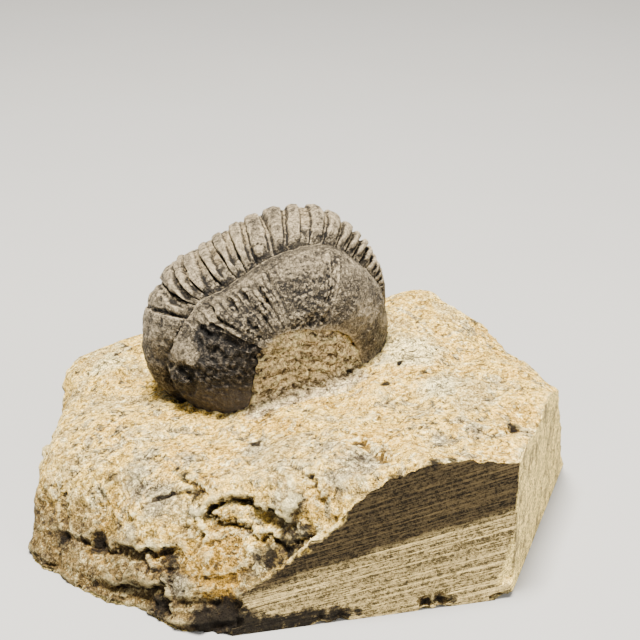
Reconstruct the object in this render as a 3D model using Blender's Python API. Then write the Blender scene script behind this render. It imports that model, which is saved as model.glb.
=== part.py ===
"""Enrolled trilobite on its loose block of limestone, as a hand specimen.

Two pieces.  The block of limestone has a rough natural top, back and left side, a flat
base, a sawn front and a sawn right side, and a knob of rock that fills the animal's curl.
The trilobite is rolled up on its belly: the head goes down into the rock on the left, the
tail on the right, and thirteen thoracic segments arch over between them.

The trilobite is laid out in polar coordinates round the centre of its curl: an angle in
the plane of symmetry, a radius, and a width across that plane.  Lengths are written in
millimetres and MM turns them into metres.  +X is the block's long side, +Z is up, and
the origin ends up under the middle of the whole piece, on its base.
"""
import math
from typing import NamedTuple

import bmesh
import bpy
from mathutils import Matrix, Vector, noise

MM = 0.001

# ---------------------------------------------------------------- the limestone block
BLOCK_CENTRE = Vector((-1.0, -11.0, 6.5))      # inside point that the faces are seen from
BLOCK_REACH = Vector((27.5, 22.0, 8.5))        # half sides of the blank before it is shaped
BLANK_CELL = 2.0                               # size of the blank's faces
EDGE_SHARPNESS = 26                            # higher gives crisper natural edges
BASE_LEVEL = 0.0

LUMP_SIZE, LUMP_HEIGHT = 8.5, 0.9              # broad swells of the broken surface
GRIT_SIZE, GRIT_HEIGHT = 3.6, 0.6              # lumps and pits between them
LEDGE_SPACING, LEDGE_HEIGHT = 3.6, 0.45        # bedding ledges on the steep sides
SMOOTH_ROUND_FOSSIL = 9.0                      # the rock was cleaned this far from the curl


class Face(NamedTuple):
    """A natural face of the block: a point on it and its outward direction."""
    name: str
    point: tuple
    outward: tuple


class Lump(NamedTuple):
    """A place where the surface stands out, or is chipped away if its height is negative."""
    name: str
    centre: tuple
    radius: float
    height: float


NATURAL_FACES = (
    Face("top", (0, 0, 13.6), (-0.17, 0, 1)),
    Face("top right", (10, 0, 15.8), (0.16, 0, 1)),
    Face("front slope", (0, -31.7, 9.4), (-0.358, -1.33, 1)),
    Face("front toe", (0, -33.3, 0), (0, -1, 0.05)),
    Face("front left slope", (-21.05, -27.3, 2), (-0.61, -0.79, 0.786)),
    Face("front left toe", (-21.4, -27.6, 2), (-0.61, -0.79, -0.2)),
    Face("left", (-28.6, 0, 0), (-1, 0, 0.1)),
    Face("left rim", (-27.9, 0, 8.3), (-1, 0, 0.75)),
    Face("left back", (-25.0, 8.4, 10), (-0.63, 0.78, 0.18)),
    Face("back", (0, 11.0, 10), (0.02, 1, 0.2)),
    Face("right back", (15.5, 4.6, 14), (0.633, 0.774, 0.3)),
    Face("right", (22.2, -5.0, 13.7), (0.96, 0.27, 0.3)),
)

LUMPS = (
    Lump("mound at the tail", (9.0, 0.5, 15.2), 11.0, 1.5),
    Lump("shoulder by the head", (-21.0, 3.0, 10.5), 9.0, 0.5),
    Lump("hollow under the arc", (-8.2, -29.9, 8.4), 6.0, -1.7),
    Lump("front toe chip", (-10.4, -34.0, 3.0), 4.5, -1.0),
    Lump("left toe chip", (-17.2, -31.4, 2.2), 5.0, -0.9),
    Lump("left ledge", (-21.0, -25.6, 5.0), 5.0, -1.1),
    Lump("far left hollow", (-26.2, -21.5, 3.8), 5.5, -1.2),
    Lump("notch in the ledge", (-14.4, -29.0, 5.2), 4.6, -0.9),
    Lump("rim chip by the right corner", (20.6, -19.5, 14.6), 4.0, -0.7),
    Lump("back hollow", (2.0, 12.0, 5.0), 10.0, -1.6),
    Lump("back left chip", (-20.0, 11.0, 4.0), 7.0, -1.3),
)

# The saw cuts.  The front was cut in two passes that meet in a shallow valley.
FRONT_VALLEY_LEFT = Vector((-6.9, -32.4, 4.7))
FRONT_VALLEY_RIGHT = Vector((16.9, -26.8, 8.7))
FRONT_UPPER_LEAN = math.radians(-3.0)          # leans out over the valley
FRONT_LOWER_LEAN = math.radians(4.0)           # faces a little up
RIGHT_CUT_POINT = Vector((17.9, -27.0, 0.0))
RIGHT_CUT_ALONG = Vector((0.335, 0.942, 0.0))
CORNER_CHIP_POINT = Vector((16.75, -27.1, 5.0))
CORNER_CHIP_OUTWARD = Vector((0.667, -0.745, -0.09))
CORNER_CHIP_BOTTOM = 1.6
CUTTER_SIZE = 90.0

# The knob of rock inside the curl, in the curl's own along, across and up directions.
KNOB_SIZE = Vector((15.0, 17.6, 15.0))
KNOB_CENTRE = Vector((1.8, 0.0, -2.6))
KNOB_CELL = 1.9
KNOB_CROWN, KNOB_TAPER = 0.34, 0.26            # it narrows under the arch and at the tail
KNOB_ROUGHNESS = 0.35

# ---------------------------------------------------------------- the trilobite
CURL_CENTRE = Vector((-5.06, -2.66, 17.0))
CURL_YAW = math.radians(20.0)                  # the tail points away from the viewer
HEAD_END = 229.0                               # degrees round the curl, head to tail
TAIL_END = -31.0
# Grooves between the rings of the thorax and then of the tail, from the neck back.
RING_EDGES = (162.0, 151.5, 140.7, 130.0, 120.7, 111.0, 102.5, 93.5, 84.0, 75.0, 65.0,
              54.7, 45.5, 40.0, 34.5, 28.8, 22.0, 14.5)
OCCIPITAL_FURROW = RING_EDGES[0]
TAIL_SHIELD_FRONT = RING_EDGES[12]
HEAD_STATIONS = 17
TAIL_STATIONS = 10
RING_PHASES = (0.0, 0.2, 0.5, 0.8)             # stations in each ring

# Each profile runs round the curl, as pairs of an angle in degrees and a size.
CREST_RADIUS = ((229, 10.9), (215, 12.6), (204, 13.2), (190, 13.7), (176, 13.6),
                (162, 13.2), (148, 12.8), (134, 11.7), (120, 11.3), (105, 11.55),
                (84, 12.3), (64, 13.25), (40, 13.1), (20, 12.85), (5, 12.5),
                (-10, 12.1), (-31, 11.4))
MARGIN_RADIUS = ((229, 7.4), (210, 5.75), (195, 5.0), (180, 4.65), (155, 4.8), (125, 4.5),
                 (95, 3.9), (70, 3.7), (45, 4.3), (20, 5.4), (0, 6.3), (-15, 7.3),
                 (-31, 9.3))
HALF_WIDTH = ((229, 8.2), (215, 9.0), (195, 9.8), (165, 10.1), (120, 10.3), (80, 10.3),
              (45, 9.8), (20, 9.0), (0, 8.2), (-15, 7.6), (-31, 7.0))
AXIS_HALF_WIDTH = ((229, 2.0), (212, 3.0), (195, 3.7), (175, 4.1), (100, 4.2), (60, 4.1),
                   (40, 3.6), (20, 2.7), (5, 1.8), (-10, 1.2), (-31, 1.0))
AXIS_HEIGHT = ((229, 0.6), (212, 1.6), (195, 2.3), (175, 2.3), (100, 2.3), (60, 2.3),
               (40, 2.1), (20, 1.5), (5, 0.9), (-10, 0.35), (-31, 0.1))

RING_GROOVE = 0.85                             # between two rings of the axis
RIB_GROOVE = 0.38                              # between two ribs of a side lobe
TAIL_RELIEF = 0.4                              # share of it left on the last ring
AXIAL_FURROW = 0.35                            # either side of the axis
NECK_FURROW = 0.55                             # behind the glabella
CHEEK_STEP, CHEEK_STEP_ARC = 0.75, 12.0        # the cheek lies under the first ribs
EYE_ANGLE, EYE_ACROSS, EYE_SPAN, EYE_HEIGHT = 188.0, 6.1, 1.7, 0.75
GLABELLA_LOBES = 3
GLABELLA_FURROW = 0.22

AXIS_STEPS = (0.0, 0.3, 0.58, 0.82, 0.95)      # shares of the axis's half width
SIDE_STEPS = (0, 10, 24, 38, 52, 68, 90)       # degrees round a side lobe
BELLY_STEPS = (0.72, 0.36, 0.0, -0.36, -0.72)  # shares of the half width

FIT_GAP = 0.3                                  # left between the fossil and the rock


def profile(pairs, angle):
    """Read a profile at an angle, as a smooth curve through its pairs."""
    points = sorted(pairs)
    if angle <= points[0][0]:
        return points[0][1]
    if angle >= points[-1][0]:
        return points[-1][1]
    i = next(k for k in range(len(points) - 1) if angle <= points[k + 1][0])
    before, after = points[max(i - 1, 0)], points[min(i + 2, len(points) - 1)]
    (a0, v0), (a1, v1) = points[i], points[i + 1]
    slope0 = (v1 - before[1]) / (a1 - before[0])
    slope1 = (after[1] - v0) / (after[0] - a0)
    width = a1 - a0
    t = (angle - a0) / width
    return ((2 * t ** 3 - 3 * t ** 2 + 1) * v0 + (t ** 3 - 2 * t ** 2 + t) * slope0 * width
            + (3 * t ** 2 - 2 * t ** 3) * v1 + (t ** 3 - t ** 2) * slope1 * width)


def bump(distance, reach):
    """1 at no distance, falling smoothly to 0 at the reach."""
    share = min(abs(distance) / reach, 1.0)
    return (1.0 - share * share) ** 2


def curl_place(angle, radius, across):
    """Place a point of the curl in the block's frame; +across is the near side."""
    turn = math.radians(angle)
    along, up = radius * math.cos(turn), radius * math.sin(turn)
    cos_yaw, sin_yaw = math.cos(CURL_YAW), math.sin(CURL_YAW)
    return Vector((CURL_CENTRE.x + along * cos_yaw + across * sin_yaw,
                   CURL_CENTRE.y + along * sin_yaw - across * cos_yaw,
                   CURL_CENTRE.z + up))


def ring_stations():
    """List the stations from head to tail, as pairs of an angle and a ring phase.

    The phase is 0 in a groove and 0.5 on a ring's crest; None is a place with no rings.
    """
    stations = []
    head_arc = HEAD_END - OCCIPITAL_FURROW
    for k in range(HEAD_STATIONS):
        stations.append((HEAD_END - head_arc * k / HEAD_STATIONS, None))
    for front, back in zip(RING_EDGES, RING_EDGES[1:]):
        for phase in RING_PHASES:
            stations.append((front + (back - front) * phase, phase))
    rings_end = RING_EDGES[-1]
    for k in range(TAIL_STATIONS + 1):
        stations.append((rings_end + (TAIL_END - rings_end) * k / TAIL_STATIONS, None))
    return stations


def ring_relief(angle, phase, depth):
    """How far a ring's surface lies under its crest."""
    if phase is None:
        return 0.0
    fade = min(max((angle - RING_EDGES[-1]) / TAIL_SHIELD_FRONT, TAIL_RELIEF), 1.0)
    return -depth * fade * (1.0 - math.sin(math.pi * phase) ** 0.8)


def head_relief(angle, across):
    """The glabella's furrows, the neck furrow and the eyes, seen round the head."""
    axis = profile(AXIS_HALF_WIDTH, angle)
    relief = -NECK_FURROW * bump(angle - OCCIPITAL_FURROW - 8.0, 3.5) * bump(across, 1.4 * axis)
    lobe_arc = (212.0 - OCCIPITAL_FURROW - 8.0) / (GLABELLA_LOBES + 1)
    for lobe in range(1, GLABELLA_LOBES + 1):
        furrow = OCCIPITAL_FURROW + 8.0 + lobe_arc * lobe
        relief -= GLABELLA_FURROW * bump(angle - furrow, 4.0) * bump(abs(across) - axis, 2.0)
    if angle > OCCIPITAL_FURROW:
        beside = min(max((abs(across) - axis) / 2.0, 0.0), 1.0)
        under = min((angle - OCCIPITAL_FURROW) / 3.0, 1.0)
        relief -= CHEEK_STEP * under * bump(angle - OCCIPITAL_FURROW, CHEEK_STEP_ARC) * beside
    away = math.hypot((angle - EYE_ANGLE) * 0.2, abs(across) - EYE_ACROSS)
    return relief + EYE_HEIGHT * bump(away, EYE_SPAN)


def section(angle, phase, spare=0.0):
    """One closed section across the animal, as radius and across pairs.

    It runs from the near margin over the back to the far margin, and home by the belly.
    spare widens it all round, for the hollow that holds it.
    """
    crest = profile(CREST_RADIUS, angle) + spare
    margin = profile(MARGIN_RADIUS, angle) - spare
    width = profile(HALF_WIDTH, angle) + spare
    axis = profile(AXIS_HALF_WIDTH, angle)
    height = profile(AXIS_HEIGHT, angle)
    plain = spare > 0.0
    half = []
    for share in AXIS_STEPS:
        radius = crest - height * (1.0 - math.sqrt(1.0 - share ** 2.4))
        if not plain:
            radius += ring_relief(angle, phase, RING_GROOVE) + head_relief(angle, share * axis)
        half.append((radius, share * axis))
    shoulder = crest - height
    for degrees in SIDE_STEPS:
        turn = math.radians(degrees)
        across = axis + (width - axis) * math.sin(turn)
        radius = shoulder - (shoulder - margin) * (1.0 - math.cos(turn))
        if not plain:
            radius -= AXIAL_FURROW * bump(degrees, 20)
            rib = RIB_GROOVE * (0.4 + 0.6 * math.cos(turn))
            radius += ring_relief(angle, phase, rib)
            radius += head_relief(angle, across) if angle > OCCIPITAL_FURROW else 0.0
        half.append((radius, across))
    near = list(reversed(half))
    far = [(radius, -across) for radius, across in half[1:]]
    belly = [(margin, -share * width) for share in BELLY_STEPS]
    return near + far + belly


def loft(name, rows):
    """Make a closed mesh from a row of equal loops, with a fan of faces at each end."""
    shape = bmesh.new()
    loops = [[shape.verts.new(point * MM) for point in row] for row in rows]
    count = len(loops[0])
    for first, second in zip(loops, loops[1:]):
        for k in range(count):
            n = (k + 1) % count
            shape.faces.new((first[k], second[k], second[n], first[n]))
    for loop in (loops[0], loops[-1]):
        middle = shape.verts.new(sum((v.co for v in loop), Vector()) / count)
        for k in range(count):
            shape.faces.new((loop[k], loop[(k + 1) % count], middle))
    bmesh.ops.recalc_face_normals(shape, faces=shape.faces)
    bmesh.ops.triangulate(shape, faces=shape.faces)
    mesh = bpy.data.meshes.new(name)
    shape.to_mesh(mesh)
    shape.free()
    return bpy.data.objects.new(name, mesh)


def build_trilobite(name, collection):
    """Loft the trilobite's sections from the head round to the tail."""
    rows = []
    for angle, phase in ring_stations():
        rows.append([curl_place(angle, radius, across)
                     for radius, across in section(angle, phase)])
    fossil = loft(name, rows)
    collection.objects.link(fossil)
    return fossil


def build_fossil_hollow(collection):
    """The plain outer form of the trilobite with a gap all round, to cut its bed."""
    rows = []
    steps = 44
    for k in range(steps + 1):
        angle = (HEAD_END + 1.6) + (TAIL_END - HEAD_END - 3.2) * k / steps
        rows.append([curl_place(angle, radius, across)
                     for radius, across in section(angle, None, FIT_GAP)])
    hollow = loft("fossil_hollow", rows)
    collection.objects.link(hollow)
    return hollow


def split_evenly(shape, low, high, cell):
    """Cut a box's faces into an even grid of about the given cell."""
    for axis in range(3):
        span = high[axis] - low[axis]
        count = max(1, round(span / cell))
        direction = Vector((0, 0, 0))
        direction[axis] = 1.0
        for k in range(1, count):
            place = Vector(low)
            place[axis] = low[axis] + span * k / count
            everything = shape.verts[:] + shape.edges[:] + shape.faces[:]
            bmesh.ops.bisect_plane(shape, geom=everything, plane_co=place, plane_no=direction)


def reach_of_faces(ray):
    """How far along a ray from the block's centre its natural faces lie."""
    pull = 0.0
    for face in NATURAL_FACES:
        outward = Vector(face.outward).normalized()
        distance = (Vector(face.point) - BLOCK_CENTRE).dot(outward)
        facing = ray.dot(outward)
        if facing > 0.0:
            pull += (facing / distance) ** EDGE_SHARPNESS
    down = -ray.z / (BLOCK_CENTRE.z - BASE_LEVEL + 2.0)
    if down > 0.0:
        pull += down ** EDGE_SHARPNESS
    return pull ** (-1.0 / EDGE_SHARPNESS)


def roughness(point, outward):
    """How far the broken rock stands out from its smooth form at a point."""
    swell = noise.noise(point / LUMP_SIZE) * LUMP_HEIGHT
    grit = noise.noise(point / GRIT_SIZE + Vector((7.3, 2.1, 4.6))) * GRIT_HEIGHT
    steep = 1.0 - min(abs(outward.z) * 1.3, 1.0)
    wander = noise.noise(point / 14.0) * 1.6
    layer = ((point.z + wander) / LEDGE_SPACING) % 1.0
    ledge = (layer - 0.5) * LEDGE_HEIGHT * steep
    from_curl = (Vector((point.x, point.y)) - CURL_CENTRE.xy).length - SMOOTH_ROUND_FOSSIL
    calm = 0.35 + 0.65 * min(max(from_curl / 8.0, 0.0), 1.0)
    return (swell + grit) * calm + ledge


def build_blank(name, collection):
    """Shape the block's natural faces out of a divided box."""
    shape = bmesh.new()
    bmesh.ops.create_cube(shape, size=2.0, matrix=Matrix.Diagonal(BLOCK_REACH).to_4x4())
    split_evenly(shape, -BLOCK_REACH, BLOCK_REACH, BLANK_CELL)
    for vertex in shape.verts:
        ray = vertex.co.normalized()
        vertex.co = BLOCK_CENTRE + ray * reach_of_faces(ray)
    bmesh.ops.triangulate(shape, faces=shape.faces)
    shape.normal_update()
    moves = [vertex.normal * roughness(vertex.co, vertex.normal) for vertex in shape.verts]
    for vertex, move in zip(shape.verts, moves):
        for lump in LUMPS:
            away = (vertex.co - Vector(lump.centre)).length
            move += vertex.normal * lump.height * bump(away, lump.radius)
        vertex.co = (vertex.co + move) * MM
    mesh = bpy.data.meshes.new(name)
    shape.to_mesh(mesh)
    shape.free()
    block = bpy.data.objects.new(name, mesh)
    collection.objects.link(block)
    return block


def build_knob(collection):
    """The rough lump of layered rock that fills the inside of the curl."""
    shape = bmesh.new()
    half = KNOB_SIZE / 2
    bmesh.ops.create_cube(shape, size=2.0, matrix=Matrix.Diagonal(half).to_4x4())
    split_evenly(shape, -half, half, KNOB_CELL)
    place = Matrix.Translation(CURL_CENTRE) @ Matrix.Rotation(CURL_YAW, 4, "Z")
    for vertex in shape.verts:
        share = Vector((vertex.co.x / half.x, vertex.co.y / half.y, vertex.co.z / half.z))
        vertex.co.x *= 1.0 - KNOB_CROWN * max(share.z, 0.0) ** 2
        vertex.co.y *= 1.0 - KNOB_TAPER * max(share.x, 0.0) ** 2
        vertex.co = place @ (vertex.co + KNOB_CENTRE)
    shape.normal_update()
    for vertex in shape.verts:
        rough = noise.noise(vertex.co / GRIT_SIZE) * KNOB_ROUGHNESS
        vertex.co = (vertex.co + vertex.normal * rough) * MM
    bmesh.ops.triangulate(shape, faces=shape.faces)
    mesh = bpy.data.meshes.new("rock_knob")
    shape.to_mesh(mesh)
    shape.free()
    knob = bpy.data.objects.new("rock_knob", mesh)
    collection.objects.link(knob)
    return knob


def box_cutter(name, collection, corner, along, outward, size=CUTTER_SIZE):
    """A big box with one face on a cutting plane.

    corner is the middle of one edge of that face, along runs down the edge and outward is
    the plane's direction.  The box lies outside the plane, and to the left of along.
    """
    x = along.normalized()
    y = outward.normalized()
    z = x.cross(y).normalized()
    middle = corner + y * (size / 2) + z * (size / 2)
    frame = Matrix((x, y, z)).transposed().to_4x4()
    shape = bmesh.new()
    bmesh.ops.create_cube(shape, size=size * MM,
                          matrix=Matrix.Translation(middle * MM) @ frame)
    mesh = bpy.data.meshes.new(name)
    shape.to_mesh(mesh)
    shape.free()
    cutter = bpy.data.objects.new(name, mesh)
    collection.objects.link(cutter)
    return cutter


def saw_cutters(collection):
    """The boxes that saw the front, the right side and the base, and chip the corner."""
    along = (FRONT_VALLEY_RIGHT - FRONT_VALLEY_LEFT).normalized()
    out = along.cross(Vector((0, 0, 1))).normalized()
    middle = (FRONT_VALLEY_LEFT + FRONT_VALLEY_RIGHT) / 2
    upper_out = Matrix.Rotation(-FRONT_UPPER_LEAN, 3, along) @ out
    lower_out = Matrix.Rotation(-FRONT_LOWER_LEAN, 3, along) @ out
    right_out = RIGHT_CUT_ALONG.cross(Vector((0, 0, 1))).normalized()
    depth = CUTTER_SIZE / 2
    return (
        box_cutter("front_cut_upper", collection, middle, -along, upper_out),
        box_cutter("front_cut_lower", collection, middle, along, lower_out),
        box_cutter("right_cut", collection, RIGHT_CUT_POINT - Vector((0, 0, depth)),
                   -RIGHT_CUT_ALONG, right_out),
        box_cutter("corner_chip", collection,
                   Vector((CORNER_CHIP_POINT.x, CORNER_CHIP_POINT.y, CORNER_CHIP_BOTTOM)),
                   CORNER_CHIP_OUTWARD.cross(Vector((0, 0, 1))).normalized() * -1,
                   CORNER_CHIP_OUTWARD),
        box_cutter("base_cut", collection, Vector((0, -depth, BASE_LEVEL)),
                   Vector((1, 0, 0)), Vector((0, 0, -1))),
    )


def combine(target, tool, operation):
    """Add or subtract a tool with a Boolean, and keep the result as plain mesh."""
    modifier = target.modifiers.new(tool.name, "BOOLEAN")
    modifier.operation = operation
    modifier.solver = "EXACT"
    modifier.object = tool
    evaluated = target.evaluated_get(bpy.context.evaluated_depsgraph_get())
    mesh = bpy.data.meshes.new_from_object(evaluated)
    target.modifiers.clear()
    spent = target.data
    target.data = mesh
    mesh.name = target.name
    bpy.data.meshes.remove(spent)


def principled(name, colour, roughness_value):
    """A plain material of the piece's own colour."""
    material = bpy.data.materials.new(name)
    material.use_nodes = True
    shader = material.node_tree.nodes["Principled BSDF"]
    shader.inputs["Base Color"].default_value = (*colour, 1.0)
    shader.inputs["Roughness"].default_value = roughness_value
    shader.inputs["Metallic"].default_value = 0.0
    return material


def stand_on_origin(pieces):
    """Move the pieces together so that the middle of their base is the origin."""
    points = [vertex.co for piece in pieces for vertex in piece.data.vertices]
    low = Vector([min(p[axis] for p in points) for axis in range(3)])
    high = Vector([max(p[axis] for p in points) for axis in range(3)])
    move = Matrix.Translation(-Vector(((low.x + high.x) / 2, (low.y + high.y) / 2, low.z)))
    for piece in pieces:
        piece.data.transform(move)


def main():
    """Build the block and the trilobite, fit them together and stand them on the origin."""
    for old in list(bpy.data.objects):
        bpy.data.objects.remove(old, do_unlink=True)
    specimen = bpy.data.collections.new("trilobite_specimen")
    cutters = bpy.data.collections.new("cutters")
    bpy.context.scene.collection.children.link(specimen)
    bpy.context.scene.collection.children.link(cutters)

    rock = build_blank("matrix_rock", specimen)
    fossil = build_trilobite("trilobite", specimen)
    knob = build_knob(cutters)
    saws = saw_cutters(cutters)
    hollow = build_fossil_hollow(cutters)

    for saw in saws:
        combine(rock, saw, "DIFFERENCE")
    combine(rock, knob, "UNION")
    combine(rock, hollow, "DIFFERENCE")
    for tool in (knob, hollow, *saws):
        tool.hide_render = True
        tool.display_type = "WIRE"

    for piece, colour, rough in ((rock, (0.62, 0.50, 0.33), 0.9),
                                 (fossil, (0.11, 0.105, 0.095), 0.72)):
        piece.data.materials.clear()
        piece.data.materials.append(principled(piece.name, colour, rough))
    fossil.data.shade_smooth()
    stand_on_origin((rock, fossil))


if __name__ == "__main__":
    main()
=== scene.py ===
"""Looks of the enrolled trilobite on its loose block of limestone.

Two pieces are finished here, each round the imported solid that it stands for.  The block of
limestone keeps its sawn faces flat and gets broken, pitted and layered stone everywhere
else.  The trilobite gets its rings, half rings, ribs, cheeks, eyes and grain.  Lengths are
written in millimetres and MM turns them into metres.
"""
import logging
import math
from collections.abc import Callable
from dataclasses import dataclass
from enum import Enum

import bpy
import numpy as np
from mathutils import Matrix, Vector, noise
from mathutils.bvhtree import BVHTree


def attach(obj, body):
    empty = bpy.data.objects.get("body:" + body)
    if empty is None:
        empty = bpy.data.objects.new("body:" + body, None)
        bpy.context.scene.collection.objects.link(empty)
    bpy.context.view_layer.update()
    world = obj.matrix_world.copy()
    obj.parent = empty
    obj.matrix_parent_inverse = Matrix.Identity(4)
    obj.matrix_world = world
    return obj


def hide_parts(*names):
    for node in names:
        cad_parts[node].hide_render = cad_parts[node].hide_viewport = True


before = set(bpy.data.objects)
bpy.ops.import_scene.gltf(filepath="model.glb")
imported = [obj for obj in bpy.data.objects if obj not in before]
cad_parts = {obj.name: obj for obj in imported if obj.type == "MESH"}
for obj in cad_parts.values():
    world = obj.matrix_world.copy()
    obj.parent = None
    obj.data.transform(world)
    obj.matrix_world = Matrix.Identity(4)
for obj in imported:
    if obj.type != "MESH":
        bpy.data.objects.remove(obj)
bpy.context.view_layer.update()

MM = 0.001
NOISE_SEED = 5
LOG = logging.getLogger("trilobite_specimen")
Pairs = tuple[tuple[float, float], ...]
Place = tuple[float, float, float]
Pixel = tuple[float, float]
Colour = tuple[float, float, float]
Waves = tuple[Place, ...]
Socket = bpy.types.NodeSocket


# ------------------------------------------------------------------ small tools for forms
def ease(share: np.ndarray) -> np.ndarray:
    """Turn a share, held between 0 and 1, into a smooth step."""
    held = np.clip(share, 0.0, 1.0)
    return held * held * (3.0 - 2.0 * held)


def bump(distance: np.ndarray, reach: float) -> np.ndarray:
    """Give 1 at no distance, falling smoothly to 0 at the reach."""
    share = np.clip(np.abs(distance) / reach, 0.0, 1.0)
    return (1.0 - share * share) ** 2


def swell(points: np.ndarray, size: float, seed: float = 0.0) -> np.ndarray:
    """Give smooth noise between about -1 and 1 at each point.

    Args:
        points: places in millimetres, three numbers along the last axis.
        size: the width of one lump.
        seed: moves the pattern to another part of the noise.

    Returns:
        One value for each point.
    """
    spots = (points.reshape(-1, 3) / size + seed).tolist()
    values = np.array([noise.noise(spot) for spot in spots])
    return values.reshape(points.shape[:-1])


def facets(points: np.ndarray, size: float, seed: float = 0.0) -> np.ndarray:
    """Give the heights of broken facets: flat tilted cells that meet in steps.

    Args:
        points: places in millimetres, one a row.
        size: the width of one facet.
        seed: moves the pattern to another part of the noise.

    Returns:
        A height of about -1 to 1 for each point.
    """
    heights = []
    for spot in (points / size + seed).tolist():
        away, cells = noise.voronoi(spot)
        tilt = noise.noise_vector(cells[0] * 3.7)
        fade = min((away[1] - away[0]) * 5.0, 1.0)
        height = (Vector(spot) - cells[0]).dot(tilt) * 1.6 + tilt.x * 0.9
        heights.append(height * (0.35 + 0.65 * fade))
    return np.array(heights)


def stack(form: Callable, points: np.ndarray, waves: Waves) -> np.ndarray:
    """Add up layers of a noise, each with its size, its seed and its height."""
    return sum(form(points, size, seed) * height for size, seed, height in waves)


def inside_outline(seen: np.ndarray, outline: tuple, soft: float) -> np.ndarray:
    """Tell how far pixels lie inside an outline.

    Args:
        seen: one pixel a row.
        outline: the corners of a closed outline, in pixels.
        soft: the width over which the edge fades, in pixels.

    Returns:
        0 outside, 0.5 on the edge and 1 inside, for each pixel.
    """
    inside = np.zeros(len(seen), dtype=bool)
    away = np.full(len(seen), 1e6)
    for first, second in zip(outline, outline[1:] + outline[:1]):
        start, step = np.array(first, float), np.subtract(second, first).astype(float)
        offset = seen - start
        share = np.clip(offset @ step / (step @ step), 0.0, 1.0)
        away = np.minimum(away, np.linalg.norm(offset - share[:, None] * step, axis=1))
        if step[1] != 0.0:
            crosses = (start[1] > seen[:, 1]) != (second[1] > seen[:, 1])
            meets = start[0] + offset[:, 1] / step[1] * step[0]
            inside ^= crosses & (seen[:, 0] < meets)
    return ease(0.5 + np.where(inside, away, -away) / soft)


def deselect() -> None:
    """Leave nothing selected, because an operator acts on all that is."""
    bpy.ops.object.select_all(action="DESELECT")


def pick(piece: bpy.types.Object) -> None:
    """Make one piece the only selected and the active one."""
    deselect()
    piece.select_set(True)
    bpy.context.view_layer.objects.active = piece


def read_points(piece: bpy.types.Object) -> np.ndarray:
    """Read a piece's points in millimetres."""
    flat = np.empty(len(piece.data.vertices) * 3)
    piece.data.vertices.foreach_get("co", flat)
    return flat.reshape(-1, 3) / MM


def write_points(piece: bpy.types.Object, points: np.ndarray) -> None:
    """Put back a piece's points, given in millimetres."""
    piece.data.vertices.foreach_set("co", (points * MM).ravel())
    piece.data.update()


def read_normals(piece: bpy.types.Object) -> np.ndarray:
    """Read the outward direction at each of a piece's points."""
    flat = np.empty(len(piece.data.vertices) * 3)
    piece.data.vertex_normals.foreach_get("vector", flat)
    return flat.reshape(-1, 3)


def read_edges(piece: bpy.types.Object) -> np.ndarray:
    """Read the two ends of each edge."""
    flat = np.empty(len(piece.data.edges) * 2, dtype=np.int32)
    piece.data.edges.foreach_get("vertices", flat)
    return flat.reshape(-1, 2)


def relax(values: np.ndarray, edges: np.ndarray, rounds: int) -> np.ndarray:
    """Average values with their neighbours along the edges.

    Args:
        values: one row for each point.
        edges: the two ends of each edge.
        rounds: how many times they are averaged.

    Returns:
        The smoother values.
    """
    ends = np.concatenate((edges[:, 0], edges[:, 1]))
    others = np.concatenate((edges[:, 1], edges[:, 0]))
    count = np.bincount(ends, minlength=len(values)).clip(1)[:, None]
    smooth = values.copy()
    for _ in range(rounds):
        columns = [np.bincount(ends, smooth[others, k], len(values))
                   for k in range(values.shape[1])]
        smooth = 0.5 * smooth + 0.5 * np.stack(columns, axis=1) / count
    return smooth


def hollows(piece: bpy.types.Object, rounds: int) -> np.ndarray:
    """Measure in mm how far each point lies in a hollow (above 0) or on a crest (below)."""
    points = read_points(piece)
    level = relax(points, read_edges(piece), rounds)
    return ((level - points) * read_normals(piece)).sum(axis=1)


def keep_values(piece: bpy.types.Object, name: str, values: np.ndarray) -> None:
    """Store one value for each point under a name that the materials read."""
    layer = piece.data.attributes.new(name, "FLOAT", "POINT")
    layer.data.foreach_set("value", values.astype(np.float32))


def copy_of_node(node: str, name: str) -> bpy.types.Object:
    """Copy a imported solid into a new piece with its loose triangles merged."""
    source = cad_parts[node]
    piece = bpy.data.objects.new(name, source.data.copy())
    piece.data.materials.clear()
    bpy.context.scene.collection.objects.link(piece)
    pick(piece)
    bpy.ops.object.mode_set(mode="EDIT")
    bpy.ops.mesh.select_all(action="SELECT")
    bpy.ops.mesh.remove_doubles(threshold=0.001 * MM)
    bpy.ops.object.mode_set(mode="OBJECT")
    return piece


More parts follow.
